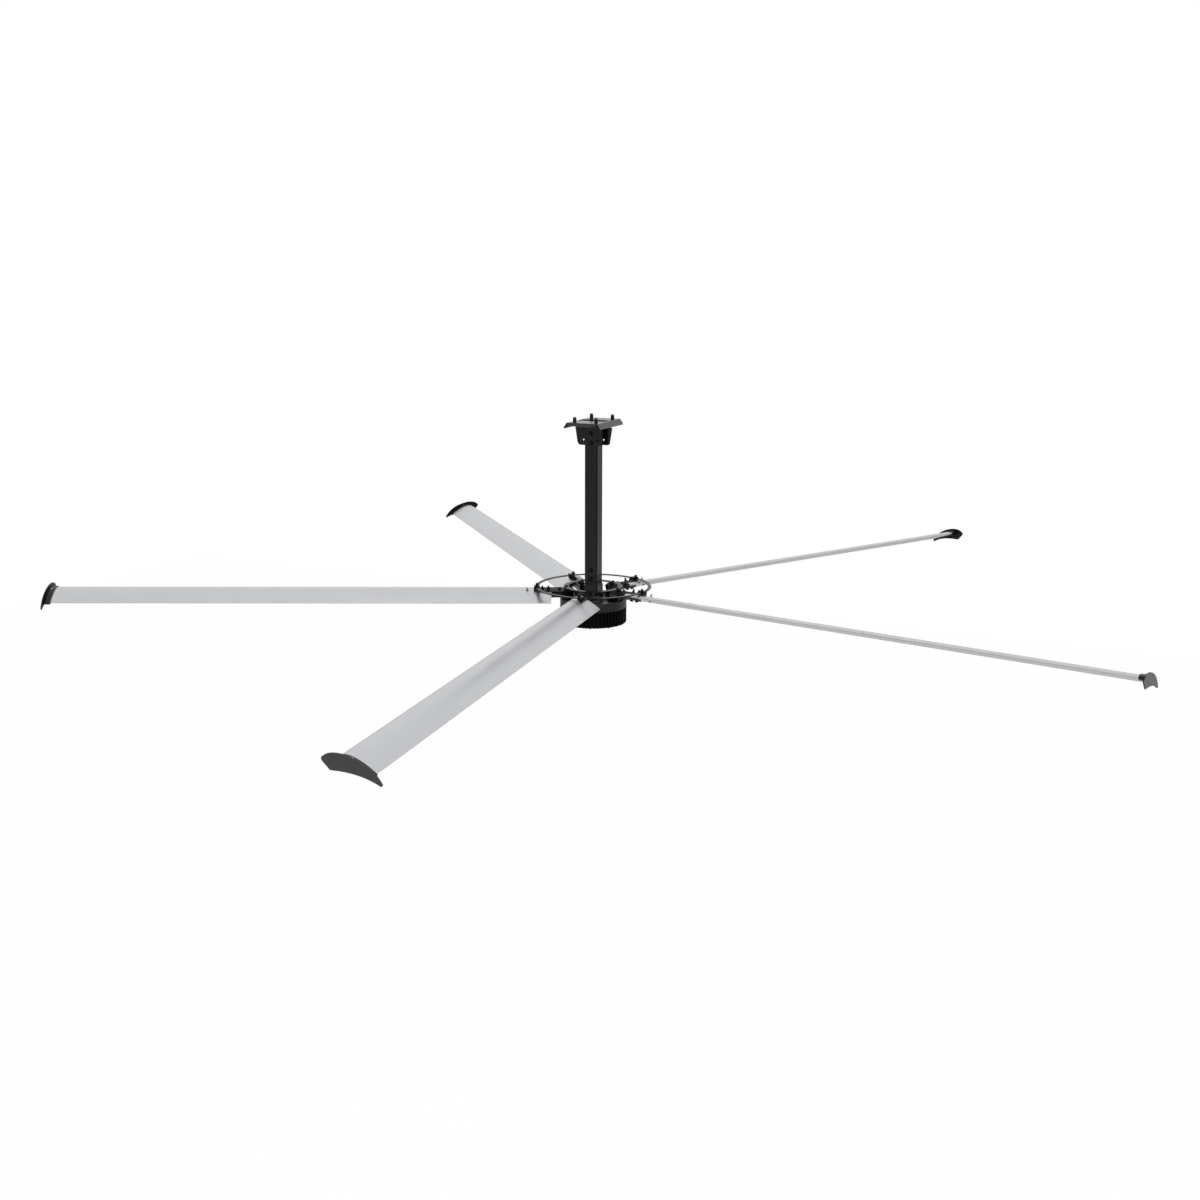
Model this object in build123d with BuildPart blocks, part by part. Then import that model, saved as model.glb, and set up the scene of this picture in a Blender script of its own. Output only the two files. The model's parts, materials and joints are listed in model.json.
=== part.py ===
from build123d import *
from math import copysign, cos, radians, sin, sqrt
import os

# Industrial ceiling fan, 6.1 m across. Five cambered blades with winglets are clamped
# to an outer-rotor motor that hangs from a square drop tube and a steel ceiling frame.
# Units are millimetres. The origin is the centre of the four ceiling bolts, in the top
# face of the ceiling frame. +Z is up and is the spin axis.

os.makedirs("parts", exist_ok=True)

# Whole fan
fan_diameter = 6096.0
blade_count = 5
first_blade_angle = -83.4

# Clearances
touch_gap = 0.3
bolt_clearance = 0.4
seat_gap = 0.05
air_gap = 2.0

# Ceiling frame, pressed from one plate
frame_steel = 4.8
frame_width = 182.0
frame_length = 314.0
frame_window_width = 162.0
frame_window_length = 72.0
side_flange_drop = 30.0
side_flange_reach = 19.0
end_lip_drop = 16.0
end_lip_reach = 9.0
frame_bend = 6.0
frame_lip_run = 20.0
frame_lip_relief = 6.0

# Ceiling bolts, M20, nose up through the frame
ceiling_bolt_radius = 10.0
ceiling_bolt_spacing_x = 127.0
ceiling_bolt_spacing_y = 222.0
ceiling_bolt_reach = 27.0
ceiling_bolt_nose = 12.0
ceiling_bolt_tip_radius = 5.0
ceiling_hole_clearance = 1.3
ceiling_bolt_head_flats = 30.0
ceiling_bolt_head_height = 12.5

# Drop tube
tube_side = 76.2
tube_wall = 4.8
tube_corner = 7.0
tube_length = 892.0
tube_top_drop = 24.0

# Hanger yoke, an inverted channel around the tube's top
yoke_steel = 5.0
yoke_width = 142.0
yoke_depth = 126.4
yoke_corner = 7.0
yoke_bend = 7.0
yoke_hole_spread = 84.0
yoke_hole_drop = 105.0
yoke_hole_radius = 7.0

# Safety-cable ears, in the tube's mid-plane
ear_steel = 8.0
ear_top_half_width = 110.0
ear_foot_half_width = 95.0
ear_neck_half_width = 78.0
ear_flange_gap = 5.0
ear_hole_half_spread = 61.0
ear_corner = 14.0

# Bolts through the tube, 1/2 in
tube_bolt_radius = 6.35
tube_bolt_flats = 19.0
tube_bolt_head = 8.0
tube_bolt_spacing = 52.0
tube_washer_radius = 14.0
tube_washer_thickness = 2.5
yoke_bolt_drop = 67.0
lower_bolt_rise = 35.0

# Motor adapter under the tube
adapter_side = 84.0
adapter_block_height = 48.0
adapter_flange_radius = 70.0
adapter_flange_height = 10.0
adapter_spigot_height = 112.0
adapter_spigot_wall = 9.0
adapter_bolt_count = 8
adapter_bolt_circle = 58.0
adapter_bolt_radius = 5.0
adapter_bolt_flats = 16.0
adapter_bolt_head = 7.0

# Motor, its heights measured down from the adapter's underside
axle_flange_height = 10.0
motor_top_drop = 17.0
band_height = 49.0
motor_radius = 187.0
band_wall = 10.0
rotor_web = 7.0
fin_height = 92.0
fin_count = 56
fin_depth = 11.0
fin_thickness = 8.0
fin_foot_radius = 9.0
fin_flange = 5.0
housing_wall = 8.0
cover_thickness = 6.0
cover_dome_radius = 60.0
cover_dome_drop = 13.0
cover_dome_slope = 10.0
cover_screw_count = 10
cover_screw_radius = 2.5
cover_screw_head_radius = 5.0
cover_screw_head = 3.5
cover_screw_length = 20.0

# Axle and its two bearings
axle_bore = 9.0
axle_shoulder_radius = 34.0
upper_seat_radius = 27.5
upper_bearing_radius = 50.0
upper_bearing_width = 21.0
upper_bearing_drop = 29.0
lower_seat_radius = 22.5
lower_bearing_radius = 42.5
lower_bearing_width = 19.0
lower_bearing_drop = 131.5
bearing_race = 7.0
bearing_boss_wall = 12.0
bearing_lip = 6.0
roller_count = 12
roller_end_gap = 2.5
axle_thread_radius = 20.0
axle_thread_length = 12.0
axle_nut_radius = 33.0
axle_nut_height = 9.0

# Stator and magnets
magnet_count = 20
magnet_thickness = 6.0
magnet_height = 60.0
magnet_share = 0.8
magnet_top_drop = 70.0
stator_height = 56.0
stator_teeth = 18
stator_slot_depth = 44.0
stator_slot_width = 9.0
stator_slot_inset = 5.0
winding_height = 12.0
winding_inner_radius = 108.0
winding_width = 42.0

# Hub plate on the motor's top
hub_plate_thickness = 9.0
hub_plate_bore = 74.0
pad_inner_radius = 106.0
pad_outer_radius = 175.0
pad_width = 52.0

# Blade section: an extruded aluminium aerofoil
chord = 157.0
blade_pitch = 21.6
thickness_ratio = 0.14
camber_ratio = 0.05
camber_place = 0.40
trailing_thickness = 3.0
blade_skin = 2.4
web_thickness = 2.6
spar_cell_start = 30.0
spar_cell_end = 78.0
nose_cell_start = 8.0
tail_cell_end = 134.0
blade_root_radius = 235.0
blade_plane_rise = 17.0
arm_offset = 18.0
arm_rise = 9.2

# Clamping arms at each blade root
lower_strut_width = 46.0
lower_strut_thickness = 10.0
lower_strut_outer = 304.0
upper_strut_width = 34.0
upper_strut_thickness = 9.0
upper_strut_outer = 334.0
strut_inner = 110.0
strut_corner = 8.0
spar_block_outer = 233.0
spar_reach = 430.0
hub_bolt_places = (128.0, 190.0)
hub_bolt_bite = 18.0
bolt_end_gap = 4.0
root_bolt_places = (252.0, 286.0)
lock_bolt_place = 371.0
arm_bolt_radius = 5.0
arm_bolt_flats = 16.0
arm_bolt_head = 7.0
root_bolt_reach = 13.0
lock_bolt_radius = 4.0
lock_bolt_flats = 13.0
lock_bolt_head = 6.0
lock_bolt_reach = 12.0

# Rings over the arms
wedge_least = 1.5
ring_thickness = 5.0
ring_edge = 1.5
hub_ring_inner = 138.0
hub_ring_outer = 166.0
hub_ring_pad_width = 30.0
hub_ring_bolt_radius = 4.0
hub_ring_bolt_flats = 13.0
hub_ring_bolt_head = 5.5
outer_ring_radius = 316.0
outer_ring_width = 20.0
clip_cheek = 6.0
clip_cap = 6.0
clip_width = 32.0
clip_bolt_radius = 4.0
clip_bolt_flats = 13.0
clip_bolt_head = 12.0

# Winglets
winglet_plate = 6.0
winglet_sleeve_depth = 34.0
winglet_sleeve_wall = 5.0
winglet_screw_radius = 3.0
winglet_screw_head_radius = 5.5
winglet_screw_head = 2.5
winglet_screw_length = 10.0
winglet_screw_setback = 15.0
winglet_nose = (93.5, 27.0)
winglet_brow = (65.0, 48.5)
winglet_crest = (30.0, 54.0)
winglet_saddle = (-34.0, 43.0)
winglet_shoulder = (-106.0, 8.0)
winglet_tail = (-159.0, -53.0)
winglet_heel = (-153.0, -59.0)
winglet_hollow = (-96.0, -34.5)
winglet_belly = (-32.0, -20.0)
winglet_chin = (54.0, -15.5)
winglet_corner = 12.0
winglet_tip_corner = 3.0

# Cable inlet in the tube's rear wall
grommet_drop = 190.0
grommet_hole = 11.0
grommet_bore = 6.5
grommet_lip = 3.0
grommet_lip_height = 3.0

# Levels that follow from the sizes above
tube_top = -tube_top_drop
tube_foot = tube_top - tube_length
adapter_foot = tube_foot - adapter_block_height - adapter_flange_height
motor_top = adapter_foot - motor_top_drop
blade_level = motor_top + blade_plane_rise
band_foot = motor_top - band_height
fin_foot = band_foot - fin_height
cover_top = fin_foot + cover_thickness
housing_radius = motor_radius - fin_depth
housing_inner = housing_radius - housing_wall
magnet_inner = housing_inner - seat_gap - magnet_thickness
stator_radius = magnet_inner - air_gap
tube_half = tube_side / 2
yoke_foot = -frame_steel - yoke_depth
winglet_inner_face = fan_diameter / 2 - winglet_plate
winglet_sleeve_radius = winglet_inner_face - winglet_sleeve_depth
blade_end_radius = winglet_inner_face - touch_gap
blade_angles = [first_blade_angle + 360 / blade_count * turn for turn in range(blade_count)]
spar_middle = (spar_cell_start + spar_cell_end) / 2


def camber(along):
    """Height of the mean line above the chord, at a distance from the leading edge."""
    x = along / chord
    if x < camber_place:
        share = (2 * camber_place * x - x * x) / camber_place**2
    else:
        share = (1 - 2 * camber_place + 2 * camber_place * x - x * x) / (1 - camber_place) ** 2
    return camber_ratio * chord * share


def half_thickness(along):
    """Half of the section's thickness at a distance from the leading edge."""
    x = along / chord
    rounded = 0.2969 * sqrt(x) - 0.1260 * x - 0.3516 * x**2 + 0.2843 * x**3 - 0.1036 * x**4
    return 5 * thickness_ratio * chord * rounded + trailing_thickness / 2 * x


def upper_surface(along, inset=0.0):
    """Point on the upper skin, or inside it by the inset, from the arm's centre line."""
    return (along - spar_middle, camber(along) + half_thickness(along) - inset)


def lower_surface(along, inset=0.0):
    """Point on the lower skin, or inside it by the inset, from the arm's centre line."""
    return (along - spar_middle, camber(along) - half_thickness(along) + inset)


def spread(start, end, count):
    """Evenly spaced distances from start to end."""
    return [start + (end - start) * step / (count - 1) for step in range(count)]


def highest_skin(width):
    """Highest point of the upper skin within a bar's width about the arm's centre."""
    return max(upper_surface(s)[1] for s in spread(spar_middle - width / 2, spar_middle + width / 2, 9))


def lowest_skin(width):
    """Lowest point of the lower skin within a bar's width about the arm's centre."""
    return min(lower_surface(s)[1] for s in spread(spar_middle - width / 2, spar_middle + width / 2, 9))


def highest_floor(width):
    """Highest point of the spar cell's floor within a width about the arm's centre."""
    steps = spread(spar_middle - width / 2, spar_middle + width / 2, 9)
    return max(lower_surface(s, blade_skin)[1] for s in steps)


def lowest_roof(width):
    """Lowest point of the spar cell's roof within a width about the arm's centre."""
    steps = spread(spar_middle - width / 2, spar_middle + width / 2, 9)
    return min(upper_surface(s, blade_skin)[1] for s in steps)


def arm_plane(angle, radius):
    """Plane across an arm: X runs along the chord to the trailing edge, Z points outward."""
    radial = Vector(cos(radians(angle)), sin(radians(angle)), 0)
    trailing = Vector(-sin(radians(angle)), cos(radians(angle)), 0)
    up = Vector(0, 0, 1)
    centre = radial * radius + trailing * arm_offset + up * (blade_level + arm_rise)
    along_chord = trailing * cos(radians(blade_pitch)) - up * sin(radians(blade_pitch))
    return Plane(origin=centre, x_dir=along_chord, z_dir=radial)


def arm_deck(angle, height):
    """Plane along an arm: X runs outward and Z is square to the chord, at a height on it."""
    across = arm_plane(angle, 0)
    return Plane(origin=across.origin + across.y_dir * height, x_dir=across.z_dir, z_dir=across.y_dir)


def arm_floor(angle, height):
    """Level plane over an arm: X runs outward from the axis, height is above the blades."""
    radial = Vector(cos(radians(angle)), sin(radians(angle)), 0)
    trailing = Vector(-sin(radians(angle)), cos(radians(angle)), 0)
    origin = trailing * arm_offset + Vector(0, 0, blade_level + height)
    return Plane(origin=origin, x_dir=radial, z_dir=(0, 0, 1))


def level_plane(angle, radius):
    """Upright plane across an arm: X runs to the trailing side and Y is up from the blades."""
    radial = Vector(cos(radians(angle)), sin(radians(angle)), 0)
    trailing = Vector(-sin(radians(angle)), cos(radians(angle)), 0)
    return Plane(origin=radial * radius + Vector(0, 0, blade_level), x_dir=trailing, z_dir=radial)


def to_level(x, y):
    """Turn a point of an arm plane into the level plane's coordinates."""
    p = radians(blade_pitch)
    return (arm_offset + x * cos(p) + y * sin(p), arm_rise - x * sin(p) + y * cos(p))


cell_width = spar_cell_end - spar_cell_start - web_thickness
tongue_width = cell_width - 2 * touch_gap
tongue_low = highest_floor(cell_width) + touch_gap
tongue_top = lowest_roof(cell_width) - touch_gap
upper_strut_low = highest_skin(upper_strut_width) + touch_gap
upper_strut_top = upper_strut_low + upper_strut_thickness
lower_strut_top = lowest_skin(lower_strut_width) - touch_gap
lower_strut_low = lower_strut_top - lower_strut_thickness
ring_low = to_level(-upper_strut_width / 2, upper_strut_top)[1] + wedge_least
outer_ring_inner = outer_ring_radius - outer_ring_width / 2
outer_ring_outer = outer_ring_radius + outer_ring_width / 2
hub_ring_middle = (hub_ring_inner + hub_ring_outer) / 2
clip_inner = outer_ring_inner - clip_cheek
clip_outer = outer_ring_outer + clip_cheek
clip_top = ring_low + ring_thickness + clip_cap
hub_ring_bolt_foot = motor_top - hub_plate_thickness + bolt_end_gap - blade_level
clip_bolt_foot = to_level(0, upper_strut_low + bolt_end_gap)[1]
winglet_screw_place = winglet_sleeve_radius + winglet_screw_setback


def section_point(place):
    """Point of the blade's section, from -1 at the trailing edge over the nose and under to 1."""
    along = chord * place**2
    return Vector(along - spar_middle, camber(along) - copysign(half_thickness(along), place))


def grown_point(place, growth):
    """Point outside the section by the growth, square to the skin and past the trailing edge."""
    step = 0.001
    run = (section_point(min(place + step, 1)) - section_point(max(place - step, -1))).normalized()
    past = run * growth * place if abs(place) == 1 else Vector(0, 0)
    return section_point(place) + Vector(run.Y, -run.X) * growth + past


def blade_outline(growth):
    """Closed blade section in the arm plane, grown outward by a distance."""
    with BuildSketch() as outline:
        with BuildLine():
            skin = Spline(*[grown_point(place, growth) for place in spread(-1, 1, 25)])
            Line(skin @ 1, skin @ 0)
        make_face()
    return outline.sketch


def save(holder, node):
    """Label one finished piece and write its file."""
    holder.part.label = node
    export_step(holder.part, f"parts/{node}.step")


def hex_bolt(flats, head, radius, length, nut_at=None, tip=0.0):
    """Bolt with its head standing on the origin and its shank below, and a nut if it has one."""
    with BuildPart() as bolt:
        with BuildSketch():
            RegularPolygon(flats / 2, 6, major_radius=False)
        extrude(amount=head)
        with BuildSketch(Plane.XY.offset(head + tip)):
            Circle(radius)
        extrude(amount=-length - head - tip)
        if nut_at is not None:
            with BuildSketch(Plane.XY.offset(-nut_at)):
                RegularPolygon(flats / 2, 6, major_radius=False)
            extrude(amount=-head)
        if tip > 0:
            chamfer(bolt.edges().group_by(Axis.Z)[-1], radius * 0.4)
    return bolt.part


def cross_bolt(grip):
    """Bolt through the tube: head and washer at the front, washer and nut behind."""
    with BuildPart() as bolt:
        with BuildSketch(Plane.XY.offset(tube_washer_thickness)):
            RegularPolygon(tube_bolt_flats / 2, 6, major_radius=False)
        extrude(amount=tube_bolt_head)
        with BuildSketch(Plane.XY.offset(-grip - tube_washer_thickness)):
            RegularPolygon(tube_bolt_flats / 2, 6, major_radius=False)
        extrude(amount=-tube_bolt_head)
        with BuildSketch(Plane.XY.offset(tube_washer_thickness)):
            Circle(tube_bolt_radius)
        extrude(amount=-grip - 2 * tube_washer_thickness - tube_bolt_head - tube_bolt_radius)
        with BuildSketch():
            Circle(tube_washer_radius)
        extrude(amount=tube_washer_thickness)
        with BuildSketch(Plane.XY.offset(-grip)):
            Circle(tube_washer_radius)
        extrude(amount=-tube_washer_thickness)
    return bolt.part


def nosed_bolt():
    """Ceiling bolt, its head's top face at the origin and its rounded nose up."""
    straight = frame_steel + ceiling_bolt_reach - ceiling_bolt_nose
    with BuildPart() as bolt:
        with BuildSketch():
            RegularPolygon(ceiling_bolt_head_flats / 2, 6, major_radius=False)
        extrude(amount=-ceiling_bolt_head_height)
        with BuildSketch(Plane.XZ):
            with BuildLine():
                Polyline((0, 0), (ceiling_bolt_radius, 0), (ceiling_bolt_radius, straight))
                nose = ThreePointArc(
                    (ceiling_bolt_radius, straight),
                    (0.86 * ceiling_bolt_radius, straight + 0.62 * ceiling_bolt_nose),
                    (ceiling_bolt_tip_radius, straight + ceiling_bolt_nose),
                )
                Polyline(nose @ 1, (0, straight + ceiling_bolt_nose), (0, 0))
            make_face()
        revolve(axis=Axis.Z)
    return bolt.part


# Ceiling frame: top plate with a window, sloped side flanges and sloped end lips
lip_width = frame_width - 2 * frame_lip_relief
with BuildPart() as mounting_frame:
    with BuildSketch(Plane.XZ.offset(-frame_length / 2)):
        with BuildLine():
            FilletPolyline(
                (-frame_width / 2 - side_flange_reach, -side_flange_drop),
                (-frame_width / 2, 0),
                (frame_width / 2, 0),
                (frame_width / 2 + side_flange_reach, -side_flange_drop),
                radius=frame_bend,
            )
            offset(amount=frame_steel, side=Side.RIGHT)
        make_face()
    extrude(amount=frame_length)
    with BuildSketch():
        with Locations((0, (frame_length - frame_lip_run) / 2), (0, (frame_lip_run - frame_length) / 2)):
            Rectangle(lip_width, frame_lip_run)
        Rectangle(frame_window_width, frame_window_length)
    extrude(amount=-frame_steel, mode=Mode.SUBTRACT)
    with BuildSketch(Plane.YZ.offset(-lip_width / 2)):
        with BuildLine():
            FilletPolyline(
                (frame_length / 2 - frame_lip_run, 0),
                (frame_length / 2, 0),
                (frame_length / 2 + end_lip_reach, -end_lip_drop),
                radius=frame_bend,
            )
            offset(amount=frame_steel, side=Side.RIGHT)
        make_face()
    extrude(amount=lip_width)
    with BuildSketch(Plane.YZ.offset(-lip_width / 2)):
        with BuildLine():
            FilletPolyline(
                (frame_lip_run - frame_length / 2, 0),
                (-frame_length / 2, 0),
                (-frame_length / 2 - end_lip_reach, -end_lip_drop),
                radius=frame_bend,
            )
            offset(amount=frame_steel, side=Side.LEFT)
        make_face()
    extrude(amount=lip_width)
    with BuildSketch():
        with GridLocations(ceiling_bolt_spacing_x, ceiling_bolt_spacing_y, 2, 2):
            Circle(ceiling_bolt_radius + ceiling_hole_clearance)
    extrude(amount=-frame_steel, mode=Mode.SUBTRACT)
save(mounting_frame, "mounting_frame")

# Ceiling bolts: heads under the frame, rounded noses standing up through it
with BuildPart() as ceiling_bolts:
    with GridLocations(ceiling_bolt_spacing_x, ceiling_bolt_spacing_y, 2, 2):
        with Locations((0, 0, -frame_steel)):
            add(nosed_bolt())
save(ceiling_bolts, "ceiling_bolts")

# Hanger yoke: inverted channel welded under the frame, its legs against the tube
leg_outer = tube_half + yoke_steel
with BuildPart() as hanger_yoke:
    with BuildSketch(Plane.YZ.offset(-yoke_width / 2)):
        with BuildLine():
            FilletPolyline(
                (-leg_outer, yoke_foot),
                (-leg_outer, -frame_steel),
                (leg_outer, -frame_steel),
                (leg_outer, yoke_foot),
                radius=yoke_bend,
            )
            offset(amount=yoke_steel, side=Side.RIGHT)
        make_face()
    extrude(amount=yoke_width)
    fillet(hanger_yoke.edges().filter_by(Axis.Y).group_by(Axis.Z)[0], yoke_corner)
    with BuildSketch(Plane.XZ.offset(-leg_outer)):
        for drop in (yoke_bolt_drop, yoke_bolt_drop + tube_bolt_spacing):
            with Locations((0, -drop)):
                Circle(tube_bolt_radius + bolt_clearance)
        with Locations((-yoke_hole_spread / 2, -yoke_hole_drop), (yoke_hole_spread / 2, -yoke_hole_drop)):
            Circle(yoke_hole_radius)
    extrude(amount=2 * leg_outer, mode=Mode.SUBTRACT)
save(hanger_yoke, "hanger_yoke")

# Safety-cable ears: one plate each side of the tube, welded up inside the yoke
for side, node in ((-1, "cable_ear_left"), (1, "cable_ear_right")):
    ear_top = -side_flange_drop - ear_flange_gap
    with BuildPart() as cable_ear:
        with BuildSketch(Plane.XZ.offset(-ear_steel / 2)) as ear_outline:
            with BuildLine():
                Polyline(
                    (side * (tube_half + touch_gap), -frame_steel - yoke_steel),
                    (side * (yoke_width / 2), -frame_steel - yoke_steel),
                    (side * ear_neck_half_width, ear_top),
                    (side * ear_top_half_width, ear_top),
                    (side * ear_foot_half_width, yoke_foot),
                    (side * (tube_half + touch_gap), yoke_foot),
                    close=True,
                )
            make_face()
            corners = ear_outline.vertices().filter_by(lambda v: abs(v.X) > ear_neck_half_width)
            fillet(corners.sort_by(Axis.Y)[0], ear_corner)
            with Locations((side * ear_hole_half_spread, -yoke_hole_drop)):
                Circle(yoke_hole_radius, mode=Mode.SUBTRACT)
        extrude(amount=ear_steel)
    save(cable_ear, node)

# Drop tube, drilled through for the yoke bolts and the adapter bolts
lower_bolt_height = tube_foot + lower_bolt_rise
with BuildPart() as drop_tube:
    with BuildSketch(Plane.XY.offset(tube_foot)):
        RectangleRounded(tube_side, tube_side, tube_corner)
        RectangleRounded(
            tube_side - 2 * tube_wall, tube_side - 2 * tube_wall, tube_corner - tube_wall, mode=Mode.SUBTRACT
        )
    extrude(amount=tube_length)
    with BuildSketch(Plane.XZ.offset(-tube_side)):
        with Locations(
            (0, -yoke_bolt_drop),
            (0, -yoke_bolt_drop - tube_bolt_spacing),
            (0, lower_bolt_height),
            (0, lower_bolt_height + tube_bolt_spacing),
        ):
            Circle(tube_bolt_radius + bolt_clearance)
    extrude(amount=2 * tube_side, mode=Mode.SUBTRACT)
    with BuildSketch(Plane.XZ.offset(-tube_side)):
        with Locations((0, tube_top - grommet_drop)):
            Circle(grommet_hole)
    extrude(amount=tube_side, mode=Mode.SUBTRACT)
save(drop_tube, "drop_tube")

# Cable grommet in the tube's rear wall
with BuildPart() as cable_grommet:
    with BuildSketch(Plane.XZ.offset(-tube_half - grommet_lip_height)):
        with Locations((0, tube_top - grommet_drop)):
            Circle(grommet_hole + grommet_lip)
    extrude(amount=grommet_lip_height)
    with BuildSketch(Plane.XZ.offset(-tube_half)):
        with Locations((0, tube_top - grommet_drop)):
            Circle(grommet_hole - seat_gap)
    extrude(amount=tube_wall)
    with BuildSketch(Plane.XZ.offset(tube_wall - tube_half)):
        with Locations((0, tube_top - grommet_drop)):
            Circle(grommet_hole + grommet_lip)
    extrude(amount=grommet_lip_height)
    with BuildSketch(Plane.XZ.offset(-tube_side)):
        with Locations((0, tube_top - grommet_drop)):
            Circle(grommet_bore)
    extrude(amount=tube_side, mode=Mode.SUBTRACT)
    fillet(cable_grommet.edges().filter_by(GeomType.CIRCLE).group_by(Axis.Y)[-1], grommet_lip / 3)
save(cable_grommet, "cable_grommet")

# Through bolts of the yoke and of the adapter, heads at the front and nuts behind
for node, half_grip, heights in (
    ("yoke_bolts", leg_outer, (-yoke_bolt_drop, -yoke_bolt_drop - tube_bolt_spacing)),
    ("adapter_cross_bolts", tube_half, (lower_bolt_height, lower_bolt_height + tube_bolt_spacing)),
):
    with BuildPart() as cross_bolts:
        for height in heights:
            with Locations(Plane(origin=(0, -half_grip, height), x_dir=(1, 0, 0), z_dir=(0, -1, 0))):
                add(cross_bolt(2 * half_grip))
    save(cross_bolts, node)

# Motor adapter: hollow spigot inside the tube, square block and round flange below it
spigot_side = tube_side - 2 * tube_wall - 2 * touch_gap
with BuildPart() as motor_adapter:
    with BuildSketch(Plane.XY.offset(adapter_foot)):
        Circle(adapter_flange_radius)
    extrude(amount=adapter_flange_height)
    with BuildSketch(Plane.XY.offset(adapter_foot + adapter_flange_height)):
        RectangleRounded(adapter_side, adapter_side, tube_corner)
    extrude(amount=adapter_block_height)
    with BuildSketch(Plane.XY.offset(tube_foot)):
        RectangleRounded(spigot_side, spigot_side, tube_corner - tube_wall)
    extrude(amount=adapter_spigot_height)
    with BuildSketch(Plane.XY.offset(adapter_foot)):
        Rectangle(spigot_side - 2 * adapter_spigot_wall, spigot_side - 2 * adapter_spigot_wall)
    extrude(amount=adapter_spigot_height + adapter_block_height + adapter_flange_height, mode=Mode.SUBTRACT)
    with BuildSketch(Plane.XZ.offset(-tube_side)):
        with Locations((0, lower_bolt_height), (0, lower_bolt_height + tube_bolt_spacing)):
            Circle(tube_bolt_radius + bolt_clearance)
    extrude(amount=2 * tube_side, mode=Mode.SUBTRACT)
    with BuildSketch(Plane.XY.offset(adapter_foot)):
        with PolarLocations(adapter_bolt_circle, adapter_bolt_count, 180 / adapter_bolt_count):
            Circle(adapter_bolt_radius + bolt_clearance)
    extrude(amount=adapter_flange_height, mode=Mode.SUBTRACT)
save(motor_adapter, "motor_adapter")

# Adapter bolts, from the adapter's flange into the axle's flange
with BuildPart() as adapter_bolts:
    with Locations((0, 0, adapter_foot + adapter_flange_height)):
        with PolarLocations(adapter_bolt_circle, adapter_bolt_count, 180 / adapter_bolt_count):
            add(
                hex_bolt(
                    adapter_bolt_flats,
                    adapter_bolt_head,
                    adapter_bolt_radius,
                    adapter_flange_height + axle_flange_height,
                )
            )
save(adapter_bolts, "adapter_bolts")

# Axle: fixed, hollow, with a bearing seat above and below the stator's shoulder
upper_bearing_foot = adapter_foot - upper_bearing_drop - upper_bearing_width
lower_bearing_top = adapter_foot - lower_bearing_drop
lower_bearing_foot = lower_bearing_top - lower_bearing_width
axle_foot = lower_bearing_foot - axle_thread_length
with BuildPart() as motor_axle:
    with BuildSketch(Plane.XZ):
        with BuildLine():
            Polyline(
                (axle_bore, adapter_foot),
                (adapter_flange_radius, adapter_foot),
                (adapter_flange_radius, adapter_foot - axle_flange_height),
                (upper_seat_radius, adapter_foot - axle_flange_height),
                (upper_seat_radius, upper_bearing_foot),
                (axle_shoulder_radius, upper_bearing_foot),
                (axle_shoulder_radius, lower_bearing_top),
                (lower_seat_radius, lower_bearing_top),
                (lower_seat_radius, lower_bearing_foot),
                (axle_thread_radius, lower_bearing_foot),
                (axle_thread_radius, axle_foot),
                (axle_bore, axle_foot),
                close=True,
            )
        make_face()
    revolve(axis=Axis.Z)
    with BuildSketch(Plane.XY.offset(adapter_foot)):
        with PolarLocations(adapter_bolt_circle, adapter_bolt_count, 180 / adapter_bolt_count):
            Circle(adapter_bolt_radius + bolt_clearance)
    extrude(amount=-axle_flange_height, mode=Mode.SUBTRACT)
save(motor_axle, "motor_axle")

# Axle nut, ring nut with four spanner slots under the lower bearing
with BuildPart() as axle_nut:
    with BuildSketch(Plane.XY.offset(lower_bearing_foot)):
        Circle(axle_nut_radius)
        Circle(axle_thread_radius, mode=Mode.SUBTRACT)
        with PolarLocations(axle_nut_radius, 4):
            Rectangle(axle_nut_height, axle_nut_height, mode=Mode.SUBTRACT)
    extrude(amount=-axle_nut_height)
save(axle_nut, "axle_nut")

# Bearing races: the inner ones stay on the axle, the outer ones turn with the motor
for place, seat_radius, outer_radius, foot, width in (
    ("upper", upper_seat_radius, upper_bearing_radius, upper_bearing_foot, upper_bearing_width),
    ("lower", lower_seat_radius, lower_bearing_radius, lower_bearing_foot, lower_bearing_width),
):
    with BuildPart() as inner_race:
        with BuildSketch(Plane.XY.offset(foot)):
            Circle(seat_radius + bearing_race)
            Circle(seat_radius, mode=Mode.SUBTRACT)
        extrude(amount=width)
    save(inner_race, f"{place}_bearing_inner")
    with BuildPart() as outer_race:
        with BuildSketch(Plane.XY.offset(foot)):
            Circle(outer_radius)
            Circle(outer_radius - bearing_race, mode=Mode.SUBTRACT)
        extrude(amount=width)
    save(outer_race, f"{place}_bearing_outer")

# Bearing rollers, clear of the inner races
with BuildPart() as bearing_rollers:
    for seat_radius, outer_radius, foot, width in (
        (upper_seat_radius, upper_bearing_radius, upper_bearing_foot, upper_bearing_width),
        (lower_seat_radius, lower_bearing_radius, lower_bearing_foot, lower_bearing_width),
    ):
        track_inner = seat_radius + bearing_race + touch_gap
        track_outer = outer_radius - bearing_race - seat_gap
        with BuildSketch(Plane.XY.offset(foot + roller_end_gap)):
            with PolarLocations((track_inner + track_outer) / 2, roller_count):
                Circle((track_outer - track_inner) / 2)
        extrude(amount=width - 2 * roller_end_gap)
save(bearing_rollers, "bearing_rollers")

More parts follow.
